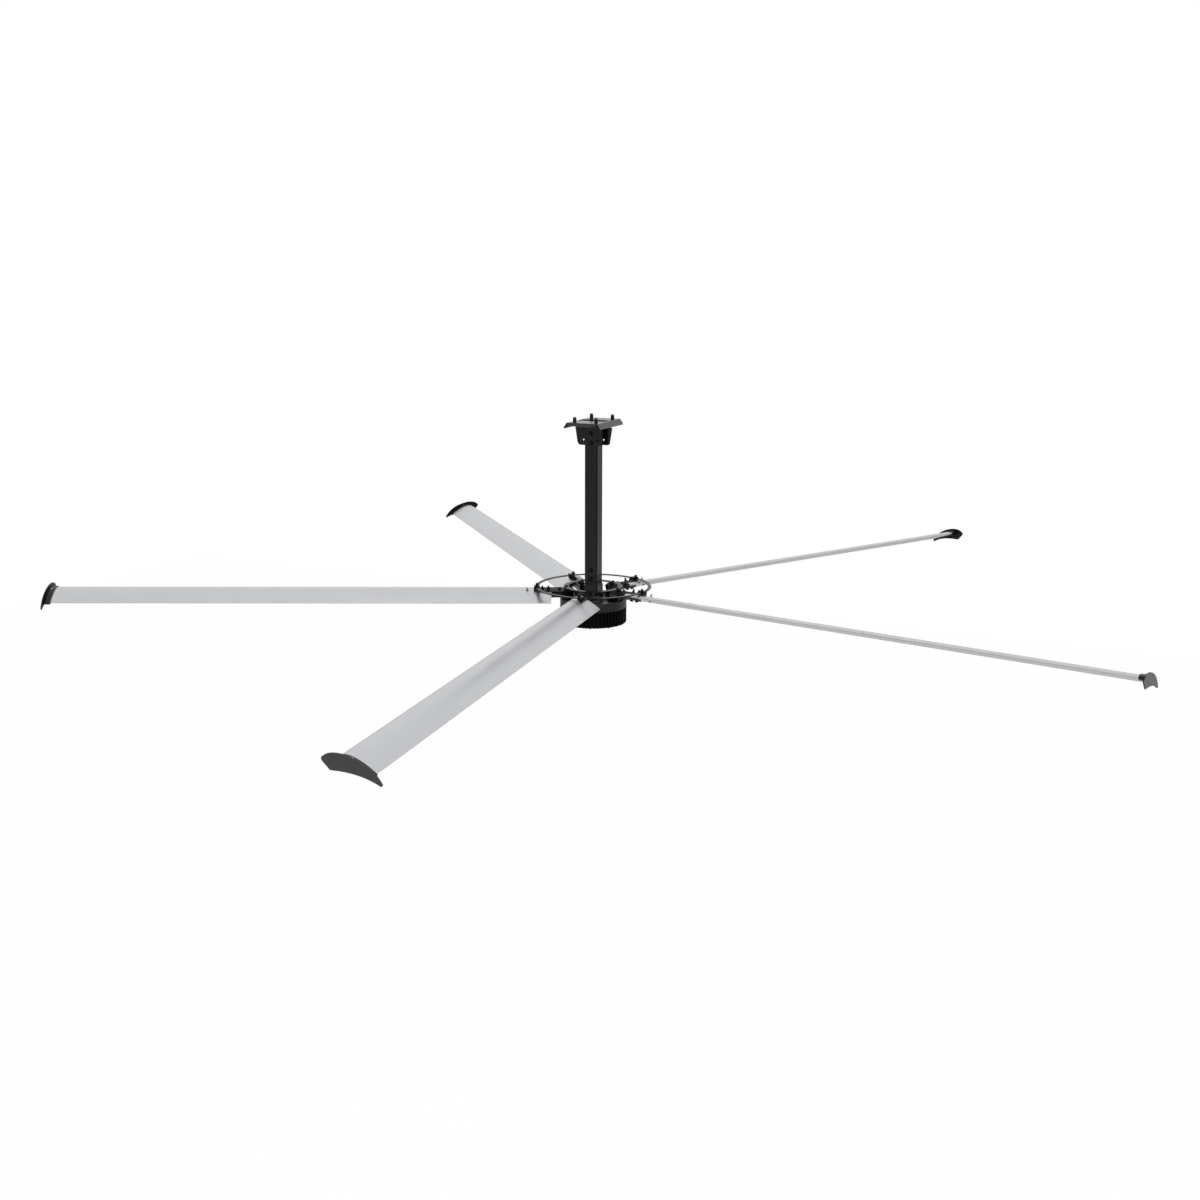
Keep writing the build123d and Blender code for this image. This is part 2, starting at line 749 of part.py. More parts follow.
# Stator core: toothed ring around the axle's shoulder
stator_top = adapter_foot - magnet_top_drop - (magnet_height - stator_height) / 2
slot_middle = stator_radius - stator_slot_inset - stator_slot_depth / 2
with BuildPart() as stator_core:
    with BuildSketch(Plane.XY.offset(stator_top)):
        Circle(stator_radius)
        Circle(axle_shoulder_radius, mode=Mode.SUBTRACT)
        with PolarLocations(slot_middle, stator_teeth):
            Rectangle(stator_slot_depth, stator_slot_width, mode=Mode.SUBTRACT)
        with PolarLocations(stator_radius, stator_teeth):
            Rectangle(2 * stator_slot_inset + 1, stator_slot_width / 3, mode=Mode.SUBTRACT)
    extrude(amount=-stator_height)
save(stator_core, "stator_core")

# Stator windings: the coils' end turns above and below the core
with BuildPart() as stator_windings:
    for level in (stator_top, stator_top - stator_height - winding_height):
        with BuildSketch(Plane.XY.offset(level)):
            Circle(winding_inner_radius + winding_width)
            Circle(winding_inner_radius, mode=Mode.SUBTRACT)
        extrude(amount=winding_height)
    chamfer(stator_windings.edges().filter_by(GeomType.CIRCLE), winding_height / 5)
save(stator_windings, "stator_windings")

# Rotor band: the motor's smooth upper half, with its top web and upper bearing boss
rotor_floor = motor_top - hub_plate_thickness
with BuildPart() as rotor_band:
    with BuildSketch(Plane.XZ):
        with BuildLine():
            Polyline(
                (motor_radius, motor_top),
                (motor_radius, band_foot),
                (motor_radius - band_wall, band_foot),
                (motor_radius - band_wall, rotor_floor - rotor_web),
                (upper_bearing_radius + bearing_boss_wall, rotor_floor - rotor_web),
                (upper_bearing_radius + bearing_boss_wall, upper_bearing_foot),
                (upper_bearing_radius, upper_bearing_foot),
                (upper_bearing_radius, upper_bearing_foot + upper_bearing_width),
                (upper_bearing_radius - bearing_lip, upper_bearing_foot + upper_bearing_width),
                (upper_bearing_radius - bearing_lip, rotor_floor),
                (motor_radius - band_wall - touch_gap, rotor_floor),
                (motor_radius - band_wall - touch_gap, motor_top),
                close=True,
            )
        make_face()
    revolve(axis=Axis.Z)
    fillet(rotor_band.edges().filter_by(GeomType.CIRCLE).group_by(Axis.Z)[-1].sort_by(SortBy.RADIUS)[-1], 3)
save(rotor_band, "rotor_band")

# Finned housing: the motor's lower half, a ring of upright cooling fins
with BuildPart() as finned_housing:
    with BuildSketch(Plane.XY.offset(band_foot)):
        Circle(housing_radius)
        Circle(housing_inner, mode=Mode.SUBTRACT)
    extrude(amount=cover_top - band_foot)
    with BuildSketch(Plane.XY.offset(band_foot)):
        Circle(motor_radius)
        Circle(housing_inner, mode=Mode.SUBTRACT)
    extrude(amount=-fin_flange)
    fin_start = sqrt(housing_radius**2 - (fin_thickness / 2) ** 2) - touch_gap
    with BuildPart(mode=Mode.PRIVATE) as fin:
        with BuildSketch(Plane.XZ.offset(-fin_thickness / 2)) as fin_outline:
            with BuildLine():
                Polyline(
                    (fin_start, band_foot),
                    (motor_radius, band_foot),
                    (motor_radius, fin_foot),
                    (fin_start, fin_foot),
                    close=True,
                )
            make_face()
            fillet(fin_outline.vertices().sort_by(Axis.Y)[:2].sort_by(Axis.X)[-1], fin_foot_radius)
        extrude(amount=fin_thickness)
    with PolarLocations(0, fin_count):
        add(fin.part)
    with BuildSketch(Plane.XY.offset(cover_top)):
        with PolarLocations(housing_radius - housing_wall / 2, cover_screw_count):
            Circle(cover_screw_radius + seat_gap)
    extrude(amount=cover_screw_length, mode=Mode.SUBTRACT)
save(finned_housing, "finned_housing")

# Bottom cover with the lower bearing's cup and a shallow dome over the axle's end
cover_radius = fin_start - touch_gap
with BuildPart() as bottom_cover:
    with BuildSketch(Plane.XZ):
        with BuildLine():
            Polyline(
                (0, fin_foot - cover_dome_drop),
                (cover_dome_radius - cover_dome_slope, fin_foot - cover_dome_drop),
                (cover_dome_radius, fin_foot),
                (cover_radius, fin_foot),
                (cover_radius, cover_top),
                (lower_bearing_radius + bearing_boss_wall, cover_top),
                (lower_bearing_radius + bearing_boss_wall, lower_bearing_top),
                (lower_bearing_radius, lower_bearing_top),
                (lower_bearing_radius, lower_bearing_foot),
                (lower_bearing_radius - bearing_lip, lower_bearing_foot),
                (lower_bearing_radius - bearing_lip, fin_foot - cover_dome_drop + cover_thickness),
                (0, fin_foot - cover_dome_drop + cover_thickness),
                close=True,
            )
        make_face()
    revolve(axis=Axis.Z)
    with BuildSketch(Plane.XY.offset(fin_foot)):
        with PolarLocations(housing_radius - housing_wall / 2, cover_screw_count):
            Circle(cover_screw_radius + bolt_clearance)
    extrude(amount=cover_thickness, mode=Mode.SUBTRACT)
save(bottom_cover, "bottom_cover")

# Cover screws, up into the housing's wall
with BuildPart() as cover_screws:
    with BuildSketch(Plane.XY.offset(fin_foot)):
        with PolarLocations(housing_radius - housing_wall / 2, cover_screw_count):
            Circle(cover_screw_head_radius)
    extrude(amount=-cover_screw_head)
    with BuildSketch(Plane.XY.offset(fin_foot)):
        with PolarLocations(housing_radius - housing_wall / 2, cover_screw_count):
            Circle(cover_screw_radius)
    extrude(amount=cover_screw_length)
save(cover_screws, "cover_screws")

# Magnets, bonded inside the housing around the stator
magnet_step = 360 / magnet_count
magnet_reach = housing_inner - seat_gap
with BuildPart() as magnets:
    with BuildPart(mode=Mode.PRIVATE) as magnet:
        with BuildSketch(Plane.XY.offset(adapter_foot - magnet_top_drop)):
            with BuildLine():
                face_inner = CenterArc((0, 0), magnet_inner, 0, magnet_step * magnet_share)
                face_outer = CenterArc((0, 0), magnet_reach, 0, magnet_step * magnet_share)
                Line(face_inner @ 0, face_outer @ 0)
                Line(face_inner @ 1, face_outer @ 1)
            make_face()
        extrude(amount=-magnet_height)
    with PolarLocations(0, magnet_count):
        add(magnet.part)
save(magnets, "magnets")

# Hub plate in the rotor's recess, with a wedge pad under each arm
with BuildPart() as hub_plate:
    with BuildSketch(Plane.XY.offset(rotor_floor)):
        Circle(motor_radius - band_wall - 2 * touch_gap)
        Circle(hub_plate_bore, mode=Mode.SUBTRACT)
    extrude(amount=hub_plate_thickness)
    for angle in blade_angles:
        with BuildSketch(level_plane(angle, pad_inner_radius)):
            with BuildLine():
                leading = to_level(-pad_width / 2, lower_strut_low)
                trailing = to_level(pad_width / 2, lower_strut_low)
                foot = motor_top - blade_level
                Polyline(leading, trailing, (trailing[0], foot), (leading[0], foot), close=True)
            make_face()
        extrude(amount=pad_outer_radius - pad_inner_radius)
        with BuildSketch(arm_deck(angle, lower_strut_low)):
            with Locations((hub_bolt_places[0], 0)):
                Circle(arm_bolt_radius + bolt_clearance)
        extrude(amount=-hub_bolt_bite - touch_gap, mode=Mode.SUBTRACT)
        with BuildSketch(arm_floor(angle, hub_ring_bolt_foot - touch_gap)):
            with Locations((hub_ring_middle, 0)):
                Circle(hub_ring_bolt_radius + bolt_clearance)
        extrude(amount=ring_low - hub_ring_bolt_foot, mode=Mode.SUBTRACT)
save(hub_plate, "hub_plate")

# Arms: a strut under each blade root, one over it and a solid spar that reaches into it
for number, angle in enumerate(blade_angles, 1):
    with BuildPart() as lower_strut:
        with BuildSketch(arm_deck(angle, lower_strut_low)):
            with Locations(((strut_inner + lower_strut_outer) / 2, 0)):
                RectangleRounded(lower_strut_outer - strut_inner, lower_strut_width, strut_corner)
            for place in hub_bolt_places + root_bolt_places:
                with Locations((place, 0)):
                    Circle(arm_bolt_radius + bolt_clearance, mode=Mode.SUBTRACT)
        extrude(amount=lower_strut_thickness)
        with BuildSketch(arm_floor(angle, hub_ring_bolt_foot)):
            with Locations((hub_ring_middle, 0)):
                Circle(hub_ring_bolt_radius + bolt_clearance)
        extrude(amount=ring_low - hub_ring_bolt_foot, mode=Mode.SUBTRACT)
    save(lower_strut, f"lower_strut_{number}")

    with BuildPart() as upper_strut:
        with BuildSketch(arm_deck(angle, upper_strut_low)):
            with Locations(((strut_inner + upper_strut_outer) / 2, 0)):
                RectangleRounded(upper_strut_outer - strut_inner, upper_strut_width, strut_corner)
            for place in hub_bolt_places + root_bolt_places:
                with Locations((place, 0)):
                    Circle(arm_bolt_radius + bolt_clearance, mode=Mode.SUBTRACT)
        extrude(amount=upper_strut_thickness)
        with BuildSketch(arm_floor(angle, hub_ring_bolt_foot)):
            with Locations((hub_ring_middle, 0)):
                Circle(hub_ring_bolt_radius + bolt_clearance)
        extrude(amount=ring_low - hub_ring_bolt_foot, mode=Mode.SUBTRACT)
        with BuildSketch(arm_floor(angle, clip_bolt_foot - touch_gap)):
            with Locations((outer_ring_radius, 0)):
                Circle(clip_bolt_radius + bolt_clearance)
        extrude(amount=ring_low - clip_bolt_foot, mode=Mode.SUBTRACT)
    save(upper_strut, f"upper_strut_{number}")

    with BuildPart() as blade_spar:
        with BuildSketch(arm_deck(angle, lower_strut_top)):
            with Locations(((strut_inner + spar_block_outer) / 2, 0)):
                RectangleRounded(spar_block_outer - strut_inner, upper_strut_width, strut_corner)
        extrude(amount=upper_strut_low - lower_strut_top)
        with BuildSketch(arm_deck(angle, tongue_low)):
            with Locations(((strut_inner + spar_reach) / 2, 0)):
                Rectangle(spar_reach - strut_inner - 2 * strut_corner, tongue_width)
        extrude(amount=tongue_top - tongue_low)
        with BuildSketch(arm_deck(angle, lower_strut_top)):
            for place in hub_bolt_places + root_bolt_places:
                with Locations((place, 0)):
                    Circle(arm_bolt_radius + bolt_clearance)
            with Locations((lock_bolt_place, 0)):
                Circle(lock_bolt_radius + bolt_clearance)
        extrude(amount=upper_strut_low - lower_strut_top, mode=Mode.SUBTRACT)
        with BuildSketch(arm_floor(angle, hub_ring_bolt_foot)):
            with Locations((hub_ring_middle, 0)):
                Circle(hub_ring_bolt_radius + bolt_clearance)
        extrude(amount=ring_low - hub_ring_bolt_foot, mode=Mode.SUBTRACT)
    save(blade_spar, f"blade_spar_{number}")

# Blades: one extruded hollow section with three cells, drilled where the arm holds it
for number, angle in enumerate(blade_angles, 1):
    with BuildPart() as blade:
        with BuildSketch(arm_plane(angle, blade_root_radius)):
            add(blade_outline(0.0))
            for cell_start, cell_end in (
                (nose_cell_start, spar_cell_start - web_thickness / 2),
                (spar_cell_start + web_thickness / 2, spar_cell_end - web_thickness / 2),
                (spar_cell_end + web_thickness / 2, tail_cell_end),
            ):
                with BuildLine():
                    roof = Spline(*[upper_surface(s, blade_skin) for s in spread(cell_start, cell_end, 6)])
                    floor = Spline(*[lower_surface(s, blade_skin) for s in spread(cell_start, cell_end, 6)])
                    Line(roof @ 0, floor @ 0)
                    Line(roof @ 1, floor @ 1)
                make_face(mode=Mode.SUBTRACT)
        extrude(amount=blade_end_radius - blade_root_radius)
        with BuildSketch(arm_deck(angle, lower_strut_low)):
            for place in root_bolt_places:
                with Locations((place, 0)):
                    Circle(arm_bolt_radius + bolt_clearance)
            with Locations((lock_bolt_place, 0)):
                Circle(lock_bolt_radius + bolt_clearance)
        extrude(amount=upper_strut_top - lower_strut_low, mode=Mode.SUBTRACT)
        with BuildSketch(arm_deck(angle, lower_strut_low)):
            with Locations((winglet_screw_place, 0)):
                Circle(winglet_screw_radius + bolt_clearance)
        extrude(amount=upper_strut_top - lower_strut_low, mode=Mode.SUBTRACT)
    save(blade, f"blade_{number}")

# Winglets: a swept end plate with a sleeve that slips over the blade's end
for number, angle in enumerate(blade_angles, 1):
    with BuildPart() as winglet:
        with BuildSketch(arm_plane(angle, winglet_sleeve_radius)):
            add(blade_outline(touch_gap + winglet_sleeve_wall))
            add(blade_outline(touch_gap), mode=Mode.SUBTRACT)
        extrude(amount=winglet_sleeve_depth)
        with BuildSketch(arm_deck(angle, lower_strut_low)):
            with Locations((winglet_screw_place, 0)):
                Circle(winglet_screw_radius + bolt_clearance)
        extrude(amount=upper_strut_top - lower_strut_low, mode=Mode.SUBTRACT)
        with BuildSketch(level_plane(angle, winglet_inner_face)):
            with BuildLine():
                Spline(*[(-u, v) for u, v in (
                    winglet_nose, winglet_brow, winglet_crest, winglet_saddle,
                    winglet_shoulder, winglet_tail
                )])
                Polyline(*[(-u, v) for u, v in (winglet_tail, winglet_heel)])
                Spline(*[(-u, v) for u, v in (
                    winglet_heel, winglet_hollow, winglet_belly, winglet_chin
                )])
                Polyline(*[(-u, v) for u, v in (winglet_chin, winglet_nose)])
            make_face()
            fillet(vertices().sort_by(Axis.X)[:2], winglet_corner)
            fillet(vertices().sort_by(Axis.X)[-2:], winglet_tip_corner)
        extrude(amount=winglet_plate)
    save(winglet, f"winglet_{number}")

# Arm bolts: through each strut pair, the inner ones down into the hub's pads
strut_grip = upper_strut_top - lower_strut_low
with BuildPart() as hub_bolts:
    for angle in blade_angles:
        with Locations(arm_deck(angle, upper_strut_top)):
            with Locations((hub_bolt_places[0], 0)):
                add(hex_bolt(arm_bolt_flats, arm_bolt_head, arm_bolt_radius, strut_grip + hub_bolt_bite))
            with Locations((hub_bolt_places[1], 0)):
                add(hex_bolt(arm_bolt_flats, arm_bolt_head, arm_bolt_radius, strut_grip, nut_at=strut_grip))
save(hub_bolts, "hub_bolts")

# Blade root bolts: studs with a nut over and under the struts
with BuildPart() as root_bolts:
    stud = hex_bolt(
        arm_bolt_flats, arm_bolt_head, arm_bolt_radius, strut_grip, nut_at=strut_grip, tip=root_bolt_reach
    )
    for angle in blade_angles:
        with Locations(arm_deck(angle, upper_strut_top)):
            for place in root_bolt_places:
                with Locations((place, 0)):
                    add(stud)
save(root_bolts, "root_bolts")

# Lock bolts through each blade and the spar's tongue inside it
lock_top = highest_skin(lock_bolt_flats)
lock_grip = lock_top - lowest_skin(lock_bolt_flats)
with BuildPart() as lock_bolts:
    stud = hex_bolt(
        lock_bolt_flats, lock_bolt_head, lock_bolt_radius, lock_grip, nut_at=lock_grip, tip=lock_bolt_reach
    )
    for angle in blade_angles:
        with Locations(arm_deck(angle, lock_top)):
            with Locations((lock_bolt_place, 0)):
                add(stud)
save(lock_bolts, "lock_bolts")

# Hub ring over the arms' inner ends, with a wedge pad down to each strut
with BuildPart() as hub_ring:
    with BuildSketch(Plane.XY.offset(blade_level + ring_low)):
        Circle(hub_ring_outer)
        Circle(hub_ring_inner, mode=Mode.SUBTRACT)
    extrude(amount=ring_thickness)
    for angle in blade_angles:
        with BuildSketch(level_plane(angle, hub_ring_inner + ring_edge)):
            with BuildLine():
                leading = to_level(-hub_ring_pad_width / 2, upper_strut_top)
                trailing = to_level(hub_ring_pad_width / 2, upper_strut_top)
                Polyline(leading, trailing, (trailing[0], ring_low), (leading[0], ring_low), close=True)
            make_face()
        extrude(amount=hub_ring_outer - hub_ring_inner - 4 * ring_edge)
        with BuildSketch(arm_floor(angle, hub_ring_bolt_foot)):
            with Locations((hub_ring_middle, 0)):
                Circle(hub_ring_bolt_radius + bolt_clearance)
        extrude(amount=ring_low + ring_thickness - hub_ring_bolt_foot, mode=Mode.SUBTRACT)
    top_edges = hub_ring.edges().filter_by(GeomType.CIRCLE).group_by(Axis.Z)[-1]
    chamfer(top_edges.filter_by(lambda e: e.radius > hub_ring_inner - 1), ring_edge)
save(hub_ring, "hub_ring")

# Hub ring bolts, down through ring, struts and spar into the hub's pads
with BuildPart() as hub_ring_bolts:
    for angle in blade_angles:
        with Locations(arm_floor(angle, ring_low + ring_thickness)):
            with Locations((hub_ring_middle, 0)):
                add(
                    hex_bolt(
                        hub_ring_bolt_flats,
                        hub_ring_bolt_head,
                        hub_ring_bolt_radius,
                        ring_low + ring_thickness - hub_ring_bolt_foot,
                    )
                )
save(hub_ring_bolts, "hub_ring_bolts")

# Outer ring, a flat band that ties the five arms together
with BuildPart() as outer_ring:
    with BuildSketch(Plane.XY.offset(blade_level + ring_low)):
        Circle(outer_ring_outer)
        Circle(outer_ring_inner, mode=Mode.SUBTRACT)
    extrude(amount=ring_thickness)
    for angle in blade_angles:
        with BuildSketch(arm_floor(angle, ring_low)):
            with Locations((outer_ring_radius, 0)):
                Circle(clip_bolt_radius + bolt_clearance)
        extrude(amount=ring_thickness, mode=Mode.SUBTRACT)
    top_edges = outer_ring.edges().filter_by(GeomType.CIRCLE).group_by(Axis.Z)[-1]
    chamfer(top_edges.filter_by(lambda e: e.radius > outer_ring_inner - 1), ring_edge)
save(outer_ring, "outer_ring")

# Ring clips: a block on each upper strut with the outer ring running through it
with BuildPart() as ring_clips:
    for angle in blade_angles:
        with BuildSketch(level_plane(angle, clip_inner)):
            with BuildLine():
                leading = to_level(-clip_width / 2, upper_strut_top)
                trailing = to_level(clip_width / 2, upper_strut_top)
                Polyline(leading, trailing, (trailing[0], clip_top), (leading[0], clip_top), close=True)
            make_face()
        extrude(amount=clip_outer - clip_inner)
    with BuildSketch(Plane.XY.offset(blade_level + ring_low)):
        Circle(outer_ring_outer + touch_gap)
        Circle(outer_ring_inner - touch_gap, mode=Mode.SUBTRACT)
    extrude(amount=ring_thickness + touch_gap, mode=Mode.SUBTRACT)
    for angle in blade_angles:
        with BuildSketch(arm_floor(angle, clip_bolt_foot)):
            with Locations((outer_ring_radius, 0)):
                Circle(clip_bolt_radius + bolt_clearance)
        extrude(amount=clip_top - clip_bolt_foot, mode=Mode.SUBTRACT)
save(ring_clips, "ring_clips")

# Clip bolts, tall-headed, down through clip and ring into the strut
with BuildPart() as clip_bolts:
    for angle in blade_angles:
        with Locations(arm_floor(angle, clip_top)):
            with Locations((outer_ring_radius, 0)):
                add(hex_bolt(clip_bolt_flats, clip_bolt_head, clip_bolt_radius, clip_top - clip_bolt_foot))
save(clip_bolts, "clip_bolts")

# Winglet screws, through each sleeve into the blade's end
screw_seat = highest_skin(2 * winglet_screw_head_radius) + touch_gap + winglet_sleeve_wall
with BuildPart() as winglet_screws:
    for angle in blade_angles:
        with BuildSketch(arm_deck(angle, screw_seat)):
            with Locations((winglet_screw_place, 0)):
                Circle(winglet_screw_head_radius)
        extrude(amount=winglet_screw_head)
        with BuildSketch(arm_deck(angle, screw_seat)):
            with Locations((winglet_screw_place, 0)):
                Circle(winglet_screw_radius)
        extrude(amount=-winglet_screw_length)
save(winglet_screws, "winglet_screws")
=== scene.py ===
"""Looks of the industrial ceiling fan: finishes for every CAD node, and the small pieces that go with them.

Lengths are in metres, in the CAD's frame: the origin is the centre of the ceiling bolts in the
ceiling frame's top face, +Z is up and is the spin axis.
"""

import json
import logging
from dataclasses import dataclass, field
from enum import Enum
from typing import Any, Union

import bpy
import numpy as np
from mathutils import Matrix, Vector

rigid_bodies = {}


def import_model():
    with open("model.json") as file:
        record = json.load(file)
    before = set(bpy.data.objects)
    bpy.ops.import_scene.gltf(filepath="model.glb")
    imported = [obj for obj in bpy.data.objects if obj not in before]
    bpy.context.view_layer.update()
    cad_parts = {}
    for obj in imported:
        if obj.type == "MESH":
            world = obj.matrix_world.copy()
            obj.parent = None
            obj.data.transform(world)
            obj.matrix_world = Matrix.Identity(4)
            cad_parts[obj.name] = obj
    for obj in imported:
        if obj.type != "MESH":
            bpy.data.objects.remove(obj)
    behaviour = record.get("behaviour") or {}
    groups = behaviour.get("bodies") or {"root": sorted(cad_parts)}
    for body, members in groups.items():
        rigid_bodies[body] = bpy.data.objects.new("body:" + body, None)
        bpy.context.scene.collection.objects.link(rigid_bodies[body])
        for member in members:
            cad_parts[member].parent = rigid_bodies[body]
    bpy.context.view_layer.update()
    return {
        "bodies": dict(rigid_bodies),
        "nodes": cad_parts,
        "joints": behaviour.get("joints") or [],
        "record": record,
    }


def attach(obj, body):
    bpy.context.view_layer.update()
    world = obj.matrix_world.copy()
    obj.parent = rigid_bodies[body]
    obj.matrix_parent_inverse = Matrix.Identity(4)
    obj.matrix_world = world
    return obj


LOG = logging.getLogger("ceiling_fan")

MM_PER_METRE = 1000.0
# Height of the blades' mid-plane, which the hub's pieces and the lamps' aim are placed from
BLADE_LEVEL = -0.974
# Across corners of a hexagon for one across its flats
HEXAGON_CORNERS = 1.155
# Edges that are bent by more than this are drawn sharp, in degrees
SHARP_ANGLE = 35.0
# Sockets of a Mix node, which has a pair of inputs and an output for each kind of value
MIX_SHARE, FLOAT_A, FLOAT_B, COLOUR_A, COLOUR_B = 0, 2, 3, 6, 7
FLOAT_OUT, COLOUR_OUT = 0, 2


class Body(Enum):
    """The two bodies that a piece can ride on."""

    HANGER = "hanger"
    ROTOR = "rotor"


class Slot(Enum):
    """The record's material slots that the pieces and nodes take their finish from."""

    POWDER = "black_powder_coat"
    OXIDE = "black_oxide_steel"
    ZINC = "zinc_steel"
    RUBBER = "grommet_rubber"
    TURNED = "turned_steel"
    BEARING = "bearing_steel"
    LAMINATION = "stator_lamination"
    COPPER = "copper_winding"
    MAGNET = "magnet_plating"
    CASTING = "painted_casting"
    BLADE = "blade_aluminium"
    SPAR = "spar_aluminium"
    WINGLET = "winglet_plastic"


def linear(code: str) -> tuple[float, float, float, float]:
    """Turn an sRGB hex colour into a linear one.

    Args:
        code: six hex digits, with or without a leading hash.

    Returns:
        Red, green, blue and an alpha of 1, by the sRGB curve.
    """
    digits = code.lstrip("#")
    channels = [int(digits[at : at + 2], 16) / 255 for at in (0, 2, 4)]
    red, green, blue = (c / 12.92 if c <= 0.04045 else ((c + 0.055) / 1.055) ** 2.4 for c in channels)
    return (red, green, blue, 1.0)


def add_node(
    tree: bpy.types.NodeTree, kind: str, inputs: dict[Union[str, int], Any] | None = None, **settings: Any
) -> bpy.types.Node:
    """Add one node to a tree with its settings and links.

    Args:
        tree: the material's or the world's node tree.
        kind: the node's type name.
        inputs: socket name or index, with a value, or with an output socket that it is linked from.
        settings: properties of the node itself.

    Returns:
        The new node.
    """
    node = tree.nodes.new(kind)
    for name, value in settings.items():
        setattr(node, name, value)
    for name, value in (inputs or {}).items():
        if isinstance(value, bpy.types.NodeSocket):
            tree.links.new(value, node.inputs[name])
        else:
            node.inputs[name].default_value = value
    return node


@dataclass(frozen=True)
class Finish:
    """One real material with its surface, read on Object coordinates so that a pattern keeps its size.

    Attributes:
        name: the material's common name and how it was made.
        hue: its colour.
        shade: the colour that its unevenness reaches towards.
        metallic: 1 for bare metal, 0 for paint, plastic and rubber.
        roughness: typical roughness, in the middle of its range.
        spread: how far the roughness swings either way.
        cloud_mm: size of the slow unevenness in colour and gloss.
        grain_mm: size of the surface's relief.
        relief_mm: height of that relief.
        coat: strength of a clear glossy layer on top.
        coat_roughness: roughness of that layer.
        turn: angle of the relief's grain about Z, in degrees.
        stretch: how many times longer than wide the relief is along that grain.
        mirror: specular level, 0.5 for plain paint and less for a pigment-rich matt one.
        noise_low: value that the slow noise seldom falls below.
        noise_high: value that it seldom rises above.
        cloud_detail: octaves of the slow noise.
        cloud_rough: how strong its finer octaves are.
        grain_detail: octaves of the relief.
        grain_rough: how strong its finer octaves are.
        relief_strength: share of the relief that reaches the shading.
    """

    name: str
    hue: str
    shade: str
    metallic: float = 0.0
    roughness: float = 0.4
    spread: float = 0.06
    cloud_mm: float = 60.0
    grain_mm: float = 1.0
    relief_mm: float = 0.02
    coat: float = 0.0
    coat_roughness: float = 0.1
    turn: float = 0.0
    stretch: float = 1.0
    mirror: float = 0.5
    noise_low: float = 0.3
    noise_high: float = 0.7
    cloud_detail: float = 4.0
    cloud_rough: float = 0.55
    grain_detail: float = 2.0
    grain_rough: float = 0.6
    relief_strength: float = 0.6

    def tint(self, tree: bpy.types.NodeTree, cloud: bpy.types.NodeSocket) -> bpy.types.NodeSocket:
        """Add the colour: the hue, which a slow noise carries towards the shade."""
        colours = {MIX_SHARE: cloud, COLOUR_A: linear(self.hue), COLOUR_B: linear(self.shade)}
        return add_node(tree, "ShaderNodeMix", colours, data_type="RGBA").outputs[COLOUR_OUT]

    def gloss(self, tree: bpy.types.NodeTree, cloud: bpy.types.NodeSocket) -> bpy.types.NodeSocket:
        """Add the roughness, which the same noise swings by the spread either way.

        Args:
            tree: the material's node tree.
            cloud: the slow noise.

        Returns:
            The socket that the roughness comes out of.
        """
        swing = {
            "Value": cloud,
            "From Min": self.noise_low,
            "From Max": self.noise_high,
            "To Min": self.roughness - self.spread,
            "To Max": self.roughness + self.spread,
        }
        return add_node(tree, "ShaderNodeMapRange", swing).outputs["Result"]

    def material(self, face: Union["Face", None] = None) -> bpy.types.Material:
        """Make the material: slow clouding of colour and gloss over a fine relief.

        Args:
            face: another finish that the piece's outermost face has, or none.

        Returns:
            The finished node material.
        """
        made = bpy.data.materials.new(self.name)
        made.use_nodes = True
        tree = made.node_tree
        tree.nodes.clear()
        place = add_node(tree, "ShaderNodeTexCoord").outputs["Object"]
        turned = add_node(
            tree,
            "ShaderNodeMapping",
            {"Vector": place, "Rotation": (0.0, 0.0, np.radians(-self.turn))},
            vector_type="POINT",
        ).outputs["Vector"]
        along = add_node(
            tree,
            "ShaderNodeMapping",
            {"Vector": turned, "Scale": (1.0 / self.stretch, 1.0, 1.0)},
            vector_type="POINT",
        ).outputs["Vector"]
        cloud = add_node(
            tree,
            "ShaderNodeTexNoise",
            {
                "Vector": turned,
                "Scale": MM_PER_METRE / self.cloud_mm,
                "Detail": self.cloud_detail,
                "Roughness": self.cloud_rough,
            },
        ).outputs["Fac"]
        grain = add_node(
            tree,
            "ShaderNodeTexNoise",
            {
                "Vector": along,
                "Scale": MM_PER_METRE / self.grain_mm,
                "Detail": self.grain_detail,
                "Roughness": self.grain_rough,
            },
        ).outputs["Fac"]
        tint, gloss = self.tint(tree, cloud), self.gloss(tree, cloud)
        if face is not None:
            outward = add_node(tree, "ShaderNodeSeparateXYZ", {"Vector": turned}).outputs["X"]
            on_face = add_node(
                tree, "ShaderNodeMath", {0: outward, 1: face.beyond}, operation="GREATER_THAN"
            ).outputs["Value"]
            tints = {MIX_SHARE: on_face, COLOUR_A: tint, COLOUR_B: face.finish.tint(tree, cloud)}
            tint = add_node(tree, "ShaderNodeMix", tints, data_type="RGBA").outputs[COLOUR_OUT]
            glosses = {MIX_SHARE: on_face, FLOAT_A: gloss, FLOAT_B: face.finish.gloss(tree, cloud)}
            gloss = add_node(tree, "ShaderNodeMix", glosses, data_type="FLOAT").outputs[FLOAT_OUT]
        relief = add_node(
            tree,
            "ShaderNodeBump",
            {
                "Height": grain,
                "Distance": self.relief_mm / MM_PER_METRE,
                "Strength": self.relief_strength,
            },
        ).outputs["Normal"]
        surface = add_node(
            tree,
            "ShaderNodeBsdfPrincipled",
            {
                "Base Color": tint,
                "Metallic": self.metallic,
                "Roughness": gloss,
                "Normal": relief,
                "Coat Weight": self.coat,
                "Coat Roughness": self.coat_roughness,
                "Specular IOR Level": self.mirror,
            },
        )
        add_node(tree, "ShaderNodeOutputMaterial", {"Surface": surface.outputs["BSDF"]})
        return made


